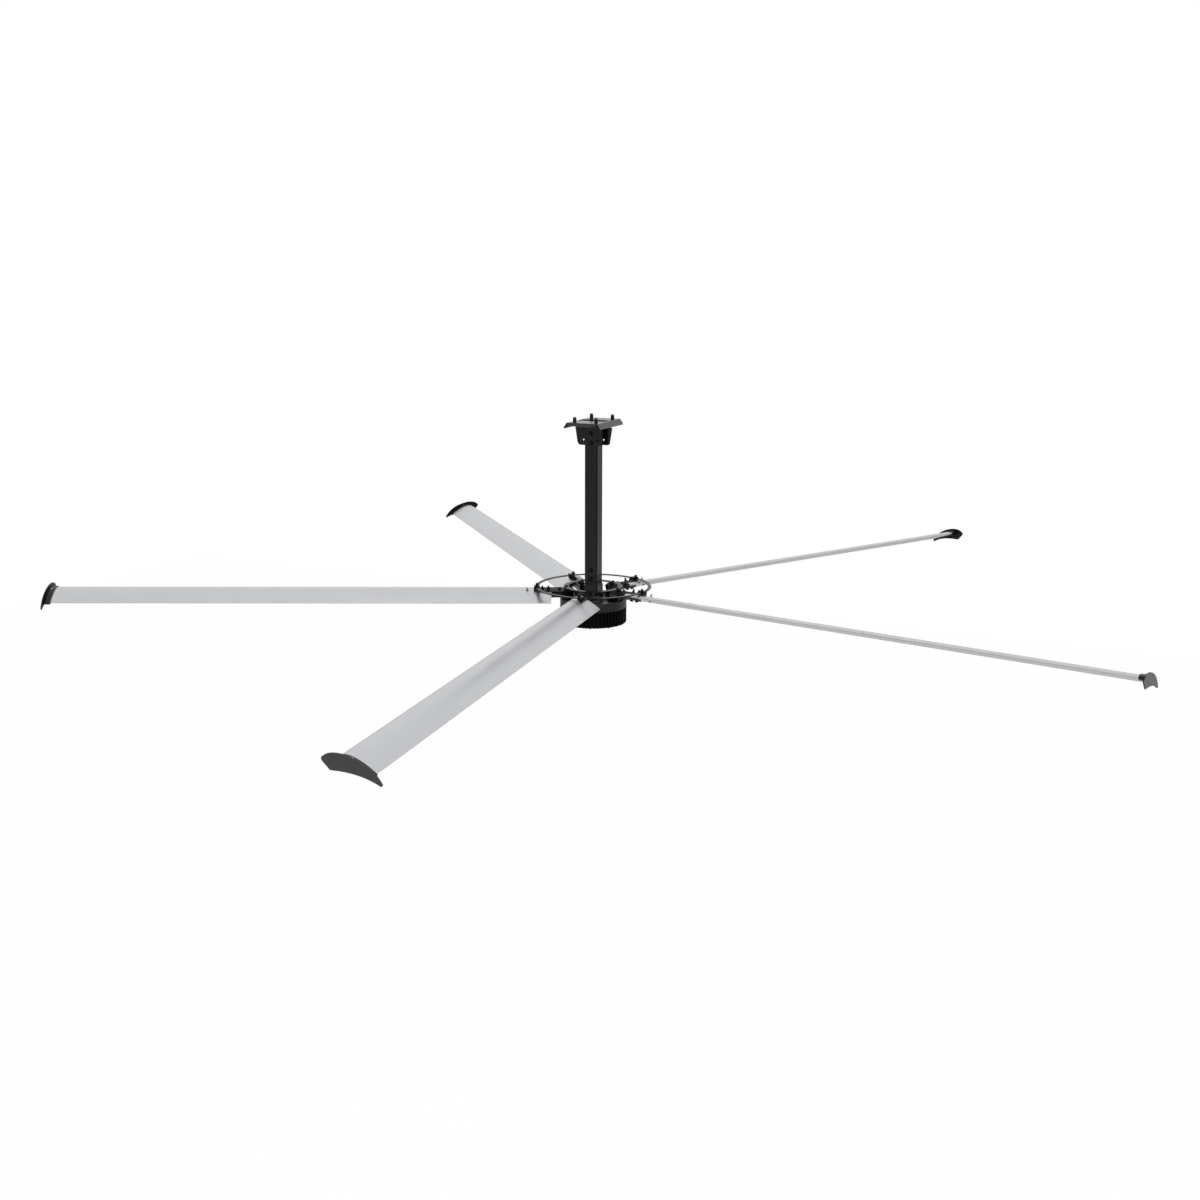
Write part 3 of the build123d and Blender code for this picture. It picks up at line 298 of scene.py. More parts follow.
@dataclass(frozen=True)
class Face:
    """A second finish on the face that lies furthest along the finish's turned X axis.

    Attributes:
        finish: the face's own finish.
        beyond: distance along that axis, in metres, past which the face's finish holds.
    """

    finish: Finish
    beyond: float


# Polyester powder coat on steel, sprayed and baked: deep glossy black with a faint orange peel
POWDER_COAT = Finish(
    "Polyester powder coat, sprayed and baked",
    "#070708",
    "#0c0c0d",
    roughness=0.17,
    spread=0.04,
    cloud_mm=120.0,
    grain_mm=3.0,
    relief_mm=0.015,
)

# Cast aluminium under satin black paint: softer shine, the casting's grain shows through
PAINTED_CASTING = Finish(
    "Cast aluminium, satin black paint",
    "#101112",
    "#171819",
    roughness=0.38,
    spread=0.07,
    cloud_mm=80.0,
    grain_mm=1.6,
    relief_mm=0.05,
)

# The finned part under matt black heat paint: nearly no shine between the fins
MATT_CASTING = Finish(
    "Cast aluminium, matt black heat paint",
    "#050505",
    "#0a0a0a",
    roughness=0.5,
    spread=0.06,
    cloud_mm=60.0,
    grain_mm=1.6,
    relief_mm=0.05,
    mirror=0.08,
)

# The rings that hold the arms: the same powder coat in a satin grade, which mirrors the room less
SATIN_POWDER = Finish(
    "Polyester powder coat, satin grade",
    "#060607",
    "#0b0b0c",
    roughness=0.3,
    spread=0.05,
    cloud_mm=90.0,
    grain_mm=2.5,
    relief_mm=0.015,
    mirror=0.25,
)

# Black-oxided steel fasteners: a dry black with brighter rubbed places
BLACK_OXIDE = Finish(
    "Steel, hot black oxide",
    "#0b0b0c",
    "#161718",
    metallic=0.25,
    roughness=0.45,
    spread=0.08,
    cloud_mm=12.0,
    grain_mm=0.8,
    relief_mm=0.03,
    mirror=0.25,
)

# Zinc-plated fasteners: pale grey metal with a soft uneven sheen
ZINC_PLATE = Finish(
    "Steel, bright zinc plate",
    "#8d9196",
    "#a9adb2",
    metallic=1.0,
    roughness=0.34,
    spread=0.08,
    cloud_mm=8.0,
    grain_mm=0.7,
    relief_mm=0.02,
)

# Moulded rubber: dull, slightly dusty black
RUBBER = Finish(
    "EPDM rubber, moulded",
    "#141414",
    "#1f1f1f",
    roughness=0.75,
    spread=0.08,
    cloud_mm=10.0,
    grain_mm=0.9,
    relief_mm=0.05,
)

# Turned steel: fine rings from the lathe
TURNED_STEEL = Finish(
    "Carbon steel, turned",
    "#7c7e82",
    "#8f9296",
    metallic=1.0,
    roughness=0.3,
    spread=0.05,
    cloud_mm=25.0,
    grain_mm=0.8,
    relief_mm=0.02,
    stretch=4.0,
)

# Ground bearing steel: near-mirror grey
BEARING_STEEL = Finish(
    "Bearing steel, ground",
    "#a3a5a8",
    "#b4b6b9",
    metallic=1.0,
    roughness=0.14,
    spread=0.03,
    cloud_mm=20.0,
    grain_mm=0.6,
    relief_mm=0.005,
)

# Stacked electrical steel: dark grey edges of many thin sheets
LAMINATION = Finish(
    "Electrical steel, stamped and stacked",
    "#4a4c50",
    "#5d6064",
    metallic=1.0,
    roughness=0.45,
    spread=0.08,
    cloud_mm=15.0,
    grain_mm=0.7,
    relief_mm=0.06,
    stretch=20.0,
)

# Enamelled copper wire: orange-brown with a lacquer shine
COPPER_WIRE = Finish(
    "Copper wire, enamelled and wound",
    "#8a4324",
    "#b0623a",
    metallic=0.9,
    roughness=0.3,
    spread=0.06,
    cloud_mm=12.0,
    grain_mm=1.4,
    relief_mm=0.3,
    coat=0.4,
    stretch=14.0,
)

# Nickel-plated sintered magnets: warm grey with a satin shine
NICKEL_PLATE = Finish(
    "Sintered magnet, nickel plate",
    "#8b8a86",
    "#9e9c97",
    metallic=1.0,
    roughness=0.28,
    spread=0.05,
    cloud_mm=14.0,
    grain_mm=0.6,
    relief_mm=0.01,
)

# Black-anodised spar bar, milled: dark grey with a metal sheen
ANODISED_SPAR = Finish(
    "Aluminium bar, black anodised",
    "#131416",
    "#1c1d20",
    metallic=0.6,
    roughness=0.36,
    spread=0.06,
    cloud_mm=40.0,
    grain_mm=0.8,
    relief_mm=0.02,
    stretch=6.0,
)

# The winglets' outer faces: spark-textured nylon, dark grey with an even soft shine
TEXTURED_WINGLET = Finish(
    "Nylon, moulded with a spark texture",
    "#4b4b4d",
    "#545456",
    roughness=0.38,
    spread=0.05,
    cloud_mm=90.0,
)


def winglet_finish(angle: float) -> Finish:
    """Injection-moulded nylon: glossy black on the sleeve and on the side towards the blade.

    Args:
        angle: the blade's direction about Z, in degrees.

    Returns:
        The finish, turned so that its X axis runs out along the blade.
    """
    return Finish(
        f"Nylon, injection moulded, at {angle:.0f} degrees",
        "#060607",
        "#0c0c0d",
        roughness=0.3,
        spread=0.05,
        cloud_mm=90.0,
        grain_mm=1.2,
        relief_mm=0.04,
        turn=angle,
        mirror=0.3,
    )


def blade_finish(angle: float) -> Finish:
    """Clear-anodised extruded aluminium: pale satin grey with faint die lines along the blade.

    Args:
        angle: the blade's direction about Z, in degrees, which its die lines follow.

    Returns:
        The finish, with its lines drawn 4 mm apart because real ones are too fine to show.
    """
    return Finish(
        f"Aluminium extrusion, clear anodised, at {angle:.0f} degrees",
        "#bcbdc0",
        "#c8c9cb",
        metallic=0.8,
        roughness=0.33,
        spread=0.03,
        cloud_mm=260.0,
        grain_mm=4.0,
        relief_mm=0.05,
        turn=angle,
        stretch=400.0,
    )


@dataclass(frozen=True)
class Mesh:
    """Points and faces of one piece.

    Attributes:
        points: array of N rows of x, y, z.
        quads: array of M rows of four point numbers.
    """

    points: np.ndarray
    quads: np.ndarray

    def placed(self, frame: Matrix) -> "Mesh":
        """Move the points by a matrix: turned points plus its shift.

        Args:
            frame: the place that the mesh's own origin and axes go to.

        Returns:
            The moved mesh.
        """
        turn = np.array(frame.to_3x3())
        return Mesh(self.points @ turn.T + np.array(frame.translation), self.quads)


def joined(meshes: list[Mesh]) -> Mesh:
    """Put meshes together by shifting each one's point numbers past those before it.

    Args:
        meshes: the meshes, in order.

    Returns:
        One mesh.
    """
    starts = np.cumsum([0] + [len(m.points) for m in meshes[:-1]])
    return Mesh(
        np.concatenate([m.points for m in meshes]),
        np.concatenate([m.quads + start for m, start in zip(meshes, starts)]),
    )


def grid_quads(rows: int, columns: int, wrap_rows: bool, wrap_columns: bool) -> np.ndarray:
    """Faces of a grid: each joins (r, c), (r + 1, c), (r + 1, c + 1) and (r, c + 1).

    They point outwards where a row goes round its section with the inside on the left and the rows
    go away from the viewer of that section, as on a lathe and along a tube.

    Args:
        rows: number of rows of points.
        columns: number of points in a row.
        wrap_rows: whether the last row joins the first.
        wrap_columns: whether each row closes on itself.

    Returns:
        The faces' point numbers.
    """
    r = np.arange(rows if wrap_rows else rows - 1)[:, None]
    c = np.arange(columns if wrap_columns else columns - 1)[None, :]
    right, up = (c + 1) % columns, (r + 1) % rows
    corners = [r * columns + c, up * columns + c, up * columns + right, r * columns + right]
    return np.stack(np.broadcast_arrays(*corners), axis=-1).reshape(-1, 4)


def tube_quads(rows: int, columns: int) -> np.ndarray:
    """Faces of a tube whose ends are closed.

    Its wall is a grid, and the faces (-k, k + 1, k + 2, -k - 1), counted round the ring, go across
    each end.

    Args:
        rows: number of rings of points.
        columns: number of points in a ring, which is even.

    Returns:
        The faces' point numbers.
    """
    k = np.arange(columns // 2 - 1)
    across = np.stack([-k % columns, k + 1, k + 2, columns - 1 - k], axis=-1)
    last = across[:, ::-1] + (rows - 1) * columns
    return np.concatenate([grid_quads(rows, columns, False, True), across, last])


def lathe(profile: list[tuple[float, float]], steps: int) -> Mesh:
    """Turn a closed profile about Z: x = r cos t, y = r sin t, z = h.

    Args:
        profile: radius and height pairs, going round the section with its inside on the left.
        steps: how many copies of the profile stand round the axis.

    Returns:
        A closed ring.
    """
    section = np.array(profile)
    t = np.linspace(0, 2 * np.pi, steps, endpoint=False)[:, None]
    heights = np.broadcast_to(section[:, 1], (steps, len(section)))
    ring = np.stack([section[:, 0] * np.cos(t), section[:, 0] * np.sin(t), heights], axis=-1)
    return Mesh(ring.reshape(-1, 3), grid_quads(steps, len(section), True, True))


def make_piece(
    name: str, mesh: Mesh, body: Body, material: bpy.types.Material
) -> bpy.types.Object:
    """Make one Blender piece from a mesh, dress it and let it ride on its body.

    Args:
        name: the piece's name.
        mesh: its points and faces in the CAD's frame.
        body: the body that it moves with.
        material: its material.

    Returns:
        The new object.
    """
    data = bpy.data.meshes.new(name)
    data.from_pydata(mesh.points.tolist(), [], mesh.quads.tolist())
    data.polygons.foreach_set("use_smooth", np.ones(len(data.polygons), dtype=bool))
    data.set_sharp_from_angle(angle=np.radians(SHARP_ANGLE))
    data.materials.append(material)
    data.update()
    piece = bpy.data.objects.new(name, data)
    bpy.context.scene.collection.objects.link(piece)
    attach(piece, body.value)
    LOG.info("made %s: %d faces on %s", name, len(data.polygons), body.value)
    return piece


def dress(node: bpy.types.Object, material: bpy.types.Material) -> None:
    """Give a CAD node its material in each of its material slots.

    Args:
        node: the CAD node's object.
        material: its material.
    """
    for held in node.material_slots:
        held.material = material
    LOG.info("dressed %s in %s", node.name, material.name)


@dataclass
class Fasteners:
    """Washers and thread crests for the bolts, which the CAD has as plain hexagons and cylinders.

    Attributes:
        washer_thickness: height of a flat washer.
        washer_spare: how far it reaches past the head's corners.
        washer_bore: its inner radius for half the head's width across flats.
        broken_edge: share of its thickness that its corners are cut by.
        thread_pitch: rise of the thread in one turn.
        thread_depth: how far the crests stand out of the stud.
        thread_sink: share of that depth that the ridge's feet lie inside the stud.
        ridge: the ridge's section over one pitch: places up it, each with its share of the rise.
        least_fade: share of the ridge's rise that is left at its ends.
        turn_steps: sections in one turn of a thread. A washer has twice as many.
    """

    washer_thickness: float = 0.0016
    washer_spare: float = 0.0022
    washer_bore: float = 0.55
    broken_edge: float = 0.2
    thread_pitch: float = 0.0020
    thread_depth: float = 0.0005
    thread_sink: float = 0.3
    ridge: tuple[tuple[float, float], ...] = ((0.05, 0.0), (0.35, 1.0), (0.55, 1.0), (0.85, 0.0))
    least_fade: float = 0.1
    turn_steps: int = 24

    def washer(self, radius: float) -> Mesh:
        """Flat washer standing on its own origin, with broken edges.

        Args:
            radius: half the width across flats of the head above it.

        Returns:
            The washer: the lathe of a rectangle with cut corners.
        """
        r = radius * HEXAGON_CORNERS + self.washer_spare
        inner, h = radius * self.washer_bore, self.washer_thickness
        c = h * self.broken_edge
        profile = [(inner, 0.0), (r - c, 0.0), (r, c), (r, h - c), (r - c, h), (inner, h)]
        return lathe(profile, 2 * self.turn_steps)

    def thread(self, radius: float, length: float) -> Mesh:
        """Thread crests round a stud that stands on its own origin.

        The surface is x = r cos t, y = r sin t, z = p (t / 2 pi + s), where r swings between just
        inside the stud and the crests as s goes over one pitch p, and dies down over half a turn at
        either end.

        Args:
            radius: the plain stud's radius.
            length: how far up the thread runs.

        Returns:
            One closed ridge wound up the stud, with its foot and its ends inside the stud.
        """
        turns = length / self.thread_pitch - 1
        t = np.linspace(0, 2 * np.pi * turns, int(self.turn_steps * turns) + 1)[:, None]
        s, share = np.array(self.ridge).T[:, None, :]
        foot = radius - self.thread_sink * self.thread_depth
        rise = (1.0 + self.thread_sink) * self.thread_depth * share
        fade = np.clip(np.minimum(t, t[-1] - t) / np.pi, self.least_fade, 1)
        r = foot + rise * fade
        z = self.thread_pitch * (t / (2 * np.pi) + s)
        points = np.stack([r * np.cos(t), r * np.sin(t), np.broadcast_to(z, r.shape)], axis=-1)
        return Mesh(points.reshape(-1, 3), tube_quads(len(t), len(self.ridge)))


@dataclass
class Arms:
    """The five clamping arms: washers under their heads and threads on their standing studs.

    Attributes:
        first_angle: direction of the first arm about Z, in degrees.
        count: number of arms.
        pitch: angle between a blade's chord and the level, in degrees.
        blade_level: height of the blades' mid-plane.
        offset: how far an arm's centre line lies behind the axis.
        rise: how far that line lies over the mid-plane.
        strut_top: height of the upper strut over the arm's centre line.
        lock_top: height of the blade's skin under a lock bolt.
        arm_flats: width across flats of the arm bolts.
        arm_head: height of their heads.
        stud_radius: radius of the studs that stand over the root bolts.
        lock_flats: width across flats of the lock, clip and ring bolts.
        lock_head: height of the lock bolts' nuts.
        lock_radius: radius of the lock bolts.
        root_thread: threaded length of a root stud, which leaves its tip plain.
        lock_thread: threaded length of a lock bolt.
        hub_places: distances of the hub bolts from the axis.
        root_places: distances of the root bolts.
        lock_place: distance of the lock bolt.
        clip_top: height of the ring clips over the mid-plane.
        ring_top: height of the hub ring over it.
        ring_middle: radius of the hub ring's bolt circle.
        clip_place: distance of the clip bolt.
        winglet_face: distance of the winglets' outer faces.
        face_margin: how far inside that face the outer finish starts.
    """

    first_angle: float = -83.4
    count: int = 5
    pitch: float = 21.6
    blade_level: float = BLADE_LEVEL
    offset: float = 0.018
    rise: float = 0.0092
    strut_top: float = 0.02846
    lock_top: float = 0.01917
    arm_flats: float = 0.016
    arm_head: float = 0.007
    stud_radius: float = 0.005
    lock_flats: float = 0.013
    lock_head: float = 0.006
    lock_radius: float = 0.004
    root_thread: float = 0.011
    lock_thread: float = 0.0105
    hub_places: tuple[float, ...] = (0.128, 0.190)
    root_places: tuple[float, ...] = (0.252, 0.286)
    lock_place: float = 0.371
    clip_top: float = 0.05442
    ring_top: float = 0.04842
    ring_middle: float = 0.152
    clip_place: float = 0.316
    winglet_face: float = 3.048
    face_margin: float = 0.0005

    def angles(self) -> list[float]:
        """The arms' directions about Z, in degrees."""
        return [self.first_angle + 360.0 / self.count * turn for turn in range(self.count)]

    def deck(self, angle: float, radius: float, height: float) -> Matrix:
        """Place on an arm: X outward, Z square to the chord, at a height over the arm's centre line.

        Args:
            angle: the arm's direction about Z, in degrees.
            radius: distance from the axis along the arm.
            height: distance square to the chord.

        Returns:
            The place as a matrix.
        """
        a, p = np.radians(angle), np.radians(self.pitch)
        radial = Vector((np.cos(a), np.sin(a), 0.0))
        trailing = Vector((-np.sin(a), np.cos(a), 0.0))
        up = Vector((0.0, 0.0, 1.0))
        normal = trailing * np.sin(p) + up * np.cos(p)
        line = up * (self.blade_level + self.rise) + trailing * self.offset
        across = normal.cross(radial)
        columns = Matrix((radial, across, normal)).transposed().to_4x4()
        columns.translation = line + radial * radius + normal * height
        return columns

    def level(self, angle: float, radius: float, height: float) -> Matrix:
        """Upright place over an arm: as deck, but level and at a height over the blades' mid-plane.

        Args:
            angle: the arm's direction about Z, in degrees.
            radius: distance from the axis along the arm.
            height: distance over the mid-plane.

        Returns:
            The place as a matrix.
        """
        place = self.deck(angle, radius, 0.0)
        upright = Matrix.Rotation(np.radians(angle), 4, "Z")
        upright.translation = (*place.translation.xy, self.blade_level + height)
        return upright

    def build(self, fasteners: Fasteners, oxide: bpy.types.Material, zinc: bpy.types.Material) -> None:
        """Make the washers and threads of all five arms.

        Args:
            fasteners: maker of washers and threads.
            oxide: finish of the black fasteners.
            zinc: finish of the lock bolts.
        """
        arm_washer = fasteners.washer(self.arm_flats / 2)
        small_washer = fasteners.washer(self.lock_flats / 2)
        root_thread = fasteners.thread(self.stud_radius, self.root_thread)
        lock_thread = fasteners.thread(self.lock_radius, self.lock_thread)
        washers, studs, lock_threads = [], [], []
        for angle in self.angles():
            for place in self.hub_places + self.root_places:
                washers.append(arm_washer.placed(self.deck(angle, place, self.strut_top)))
            washers.append(small_washer.placed(self.level(angle, self.ring_middle, self.ring_top)))
            washers.append(small_washer.placed(self.level(angle, self.clip_place, self.clip_top)))
            for place in self.root_places:
                over_head = self.deck(angle, place, self.strut_top + self.arm_head)
                studs.append(root_thread.placed(over_head))
            over_nut = self.deck(angle, self.lock_place, self.lock_top + self.lock_head)
            lock_threads.append(lock_thread.placed(over_nut))
        make_piece("arm_washers", joined(washers), Body.ROTOR, oxide)
        make_piece("root_stud_threads", joined(studs), Body.ROTOR, oxide)
        make_piece("lock_stud_threads", joined(lock_threads), Body.ROTOR, zinc)


@dataclass
class Ceiling:
    """The ceiling frame's small pieces: threads on the bolt noses and the weld beads under the plate.

    Attributes:
        bolt_radius: radius of the ceiling bolts.
        spacing_x: distance between them along X.
        spacing_y: distance between them along Y.
        thread_length: threaded height over the frame, below the rounded nose.
        steel: thickness of the frame's plate.
        leg_outer: distance of the yoke legs' outer faces from the axis.
        yoke_half_width: half the yoke's width.
        bead_radius: radius of a weld bead.
        bead_sides: points round a bead.
        ripple: length of one of its swellings.
        ripple_share: share of the radius that swells and sinks.
        ripple_steps: sections in one swelling.
        least_end: smallest share of the radius, at a bead's ends, before its root is taken.
    """

    bolt_radius: float = 0.010
    spacing_x: float = 0.127
    spacing_y: float = 0.222
    thread_length: float = 0.0145
    steel: float = 0.0048
    leg_outer: float = 0.0431
    yoke_half_width: float = 0.071
    bead_radius: float = 0.003
    bead_sides: int = 10
    ripple: float = 0.0022
    ripple_share: float = 0.15
    ripple_steps: int = 4
    least_end: float = 0.02

    def bead(self, start: Vector, end: Vector, up: Vector) -> Mesh:
        """Weld bead: a round ridge along a line, swollen by |sin| once each ripple.

        The surface is line(u) + r(u) (cos v side + sin v up), with r = R (1 - k + k |sin|) for the
        ripple's share k, and drawn in by a square root at both ends.

        Args:
            start: one end of the seam.
            end: its other end.
            up: the direction that the bead bulges to.

        Returns:
            The bead.
        """
        line = end - start
        side = line.normalized().cross(up)
        length = line.length
        u = np.linspace(0, 1, int(length / self.ripple * self.ripple_steps))[:, None]
        v = np.linspace(0, 2 * np.pi, self.bead_sides, endpoint=False)[None, :]
        swell = 1 - self.ripple_share + self.ripple_share * np.abs(np.sin(np.pi * u * length / self.ripple))
        taper = np.sqrt(np.clip(np.minimum(u, 1 - u) * length / self.bead_radius, self.least_end, 1))
        r = (self.bead_radius * swell * taper)[..., None]
        centre = np.array(start) + u[..., None] * np.array(line)
        spread = np.cos(v)[..., None] * np.array(side) + np.sin(v)[..., None] * np.array(up)
        points = centre + r * spread
        return Mesh(points.reshape(-1, 3), tube_quads(len(u), self.bead_sides))

    def build(self, fasteners: Fasteners, powder: bpy.types.Material) -> None:
        """Make the bolt threads and the beads of the yoke.

        Args:
            fasteners: maker of the threads.
            powder: finish of the ceiling frame.
        """
        thread = fasteners.thread(self.bolt_radius, self.thread_length)
        places = [
            Matrix.Translation((sx * self.spacing_x / 2, sy * self.spacing_y / 2, 0.0))
            for sx in (-1, 1)
            for sy in (-1, 1)
        ]
        threads = joined([thread.placed(place) for place in places])
        make_piece("ceiling_bolt_threads", threads, Body.HANGER, powder)
        beads = [
            self.bead(
                Vector((-self.yoke_half_width, side * self.leg_outer, -self.steel)),
                Vector((self.yoke_half_width, side * self.leg_outer, -self.steel)),
                Vector((0.0, side, -1.0)).normalized(),
            )
            for side in (-1, 1)
        ]
        make_piece("yoke_weld_beads", joined(beads), Body.HANGER, powder)


@dataclass
class Motor:
    """The motor's small pieces: the seal in the seam between band and fins, and rings on the cover.

    Attributes:
        seam_level: height of the seam.
        seam_radius: radius of the motor there.
        seal_depth: half the seal's height.
        seal_lip: share of that by which the seal stands out of the motor.
        seal_root: how many times that it reaches in.
        seal_steps: sections round the seal.
        cover_level: height of the cover's underside.
        ring_radii: radii of the cover's raised rings.
        ring_height: how far they stand out of the cover.
        ring_foot: half their width at the cover.
        ring_crown: half their width at their lowest.
        ring_sink: how far their feet lie inside the cover.
        ring_steps: sections round a ring.
    """

    seam_level: float = -1.040
    seam_radius: float = 0.187
    seal_depth: float = 0.0012
    seal_lip: float = 0.3
    seal_root: float = 3.0
    seal_steps: int = 192
    cover_level: float = -1.132
    ring_radii: tuple[float, ...] = (0.085, 0.120)
    ring_height: float = 0.0016
    ring_foot: float = 0.003
    ring_crown: float = 0.002
    ring_sink: float = 0.001
    ring_steps: int = 128

    def seal(self) -> Mesh:
        """The seal: the lathe of a wedge with a blunt lip, half of it above the seam.

        Returns:
            The seal, with its root inside the motor.
        """
        d = self.seal_depth
        root, lip = self.seam_radius - self.seal_root * d, self.seam_radius + self.seal_lip * d
        z = self.seam_level
        return lathe([(root, z - d), (lip, z - d / 2), (lip, z + d / 2), (root, z + d)], self.seal_steps)

    def cover_ring(self, radius: float) -> Mesh:
        """One raised ring: the lathe of a low ridge that hangs from the cover.

        Args:
            radius: radius of the ridge's middle.

        Returns:
            The ring.
        """
        foot, crown = self.cover_level + self.ring_sink, self.cover_level - self.ring_height
        profile = [
            (radius - self.ring_foot, foot),
            (radius - self.ring_crown, crown),
            (radius + self.ring_crown, crown),
            (radius + self.ring_foot, foot),
        ]
        return lathe(profile, self.ring_steps)

    def build(self, rubber: bpy.types.Material, casting: bpy.types.Material) -> None:
        """Make the seam's seal and the cover's raised rings.

        Args:
            rubber: finish of the seal.
            casting: finish of the cover.
        """
        make_piece("seam_seal", self.seal(), Body.ROTOR, rubber)
        rings = joined([self.cover_ring(radius) for radius in self.ring_radii])
        make_piece("cover_rings", rings, Body.ROTOR, casting)


@dataclass(frozen=True)
class Lamp:
    """One square soft lamp.

    Attributes:
        name: what it is called.
        place: where it hangs.
        side: its edge length.
        watts: its power.
    """

    name: str
    place: tuple[float, float, float]
    side: float
    watts: float

    def hang(self) -> None:
        """Hang the lamp so that it faces the hub and isn't mirrored in the blades."""
        data = bpy.data.lights.new(self.name, "AREA")
        data.shape, data.size, data.energy = "SQUARE", self.side, self.watts
        lamp = bpy.data.objects.new(self.name, data)
        lamp.location = self.place
        lamp.visible_glossy = False
        aim = Vector((0.0, 0.0, BLADE_LEVEL)) - Vector(self.place)
        lamp.rotation_euler = aim.to_track_quat("-Z", "Y").to_euler()
        bpy.context.scene.collection.objects.link(lamp)


@dataclass
class Studio:
    """Camera, pale floor, white background and soft lights.

    Attributes:
        camera_place: the camera's place.
        camera_turn: its turn about X, Y and Z, in degrees.
        lens_mm: its focal length.
        sensor_mm: its sensor's width.
        clip: nearest and furthest distance that it sees.
        floor_level: height of the floor.
        floor_half: half the floor's width.
        floor_hue: its colour.
        floor_seen: how much of it is plain white to the camera.
        floor_mirrored: how much of it is plain white in a mirror image.
        back_direction: level direction from the camera to the fan.
        horizon_low: sine of the angle at which the lower room starts to give way to the sky.
        horizon_high: sine of the angle at which it has given way.
        room_below: brightness below the horizon, from the front at 0 to the back at 1.
        room_above: brightness above it, likewise.
        lamps: the lamps.
    """

    camera_place: tuple[float, float, float] = (3.2927, -7.3192, 0.8507)
    camera_turn: tuple[float, float, float] = (76.9521, -0.1886, 23.9969)
    lens_mm: float = 43.858
    sensor_mm: float = 36.0
    clip: tuple[float, float] = (0.1, 200.0)
    floor_level: float = -5.0
    floor_half: float = 16.0
    floor_hue: str = "#ededed"
    floor_seen: float = 0.985
    floor_mirrored: float = 0.37
    back_direction: tuple[float, float] = (0.406, 0.914)
    horizon_low: float = -0.06
    horizon_high: float = 0.24
    room_below: tuple[tuple[float, float], ...] = (
        (0.0, 0.42),
        (0.2, 0.16),
        (0.35, 0.02),
        (0.75, 0.02),
        (0.9, 0.3),
        (1.0, 0.46),
    )
    room_above: tuple[tuple[float, float], ...] = ((0.0, 0.5), (0.5, 0.45), (0.8, 0.6), (1.0, 0.6))
    lamps: tuple[Lamp, ...] = (
        Lamp("overhead", (-1.2, -1.0, 5.0), 2.0, 260.0),
        Lamp("front_left", (-6.0, -6.5, 2.0), 4.0, 60.0),
        Lamp("right", (7.0, -4.0, 1.0), 4.0, 180.0),
    )

    def camera(self) -> None:
        """Set the camera at the photograph's place and lens."""
        data = bpy.data.cameras.new("camera")
        data.lens, data.sensor_width = self.lens_mm, self.sensor_mm
        data.clip_start, data.clip_end = self.clip
        camera = bpy.data.objects.new("camera", data)
        camera.location = self.camera_place
        camera.rotation_euler = [np.radians(turn) for turn in self.camera_turn]
        bpy.context.scene.collection.objects.link(camera)
        bpy.context.scene.camera = camera

    def world(self) -> None:
        """White to the camera, and a pale studio to everything else.

        Below the horizon the room is pale at the front and the back and dark at both sides, and
        above it the sky is soft. A glossy ray that leaves upwards sees the white background.
        """
        world = bpy.data.worlds.new("studio")
        bpy.context.scene.world = world
        world.use_nodes = True
        tree = world.node_tree
        tree.nodes.clear()
        direction = add_node(tree, "ShaderNodeTexCoord").outputs["Generated"]
        height = add_node(tree, "ShaderNodeSeparateXYZ", {"Vector": direction}).outputs["Z"]
        across = add_node(
            tree,
            "ShaderNodeVectorMath",
            {0: direction, 1: (*self.back_direction, 0.0)},
            operation="DOT_PRODUCT",
        ).outputs["Value"]
        share = add_node(
            tree, "ShaderNodeMapRange", {"Value": across, "From Min": -1.0, "From Max": 1.0}
        ).outputs["Result"]
        above = add_node(
            tree,
            "ShaderNodeMapRange",
            {"Value": height, "From Min": self.horizon_low, "From Max": self.horizon_high},
            interpolation_type="SMOOTHSTEP",
        ).outputs["Result"]
        rooms = []
        for stops in (self.room_below, self.room_above):
            ramp = add_node(tree, "ShaderNodeValToRGB", {"Fac": share})
            for at, level in stops[1:-1]:
                ramp.color_ramp.elements.new(at).color = (level, level, level, 1.0)
            for end in (0, -1):
                ramp.color_ramp.elements[end].color = (*[stops[end][1]] * 3, 1.0)
            rooms.append(ramp.outputs["Color"])
        levels = {MIX_SHARE: above, COLOUR_A: rooms[0], COLOUR_B: rooms[1]}
        room = add_node(tree, "ShaderNodeMix", levels, data_type="RGBA").outputs[COLOUR_OUT]
        studio = add_node(tree, "ShaderNodeBackground", {"Color": room, "Strength": 1.0})
        white = add_node(tree, "ShaderNodeBackground", {"Color": linear("#ffffff"), "Strength": 1.0})
        rays = add_node(tree, "ShaderNodeLightPath").outputs
        mirrored = add_node(
            tree, "ShaderNodeMath", {0: rays["Is Glossy Ray"], 1: above}, operation="MULTIPLY"
        ).outputs["Value"]
        straight = add_node(
            tree,
            "ShaderNodeMath",
            {0: rays["Is Camera Ray"], 1: rays["Is Transmission Ray"]},
            operation="MAXIMUM",
        ).outputs["Value"]
        seen = add_node(
            tree, "ShaderNodeMath", {0: straight, 1: mirrored}, operation="MAXIMUM"
        ).outputs["Value"]
        both = add_node(
            tree,
            "ShaderNodeMixShader",
            {0: seen, 1: studio.outputs["Background"], 2: white.outputs["Background"]},
        )
        add_node(tree, "ShaderNodeOutputWorld", {"Surface": both.outputs["Shader"]})

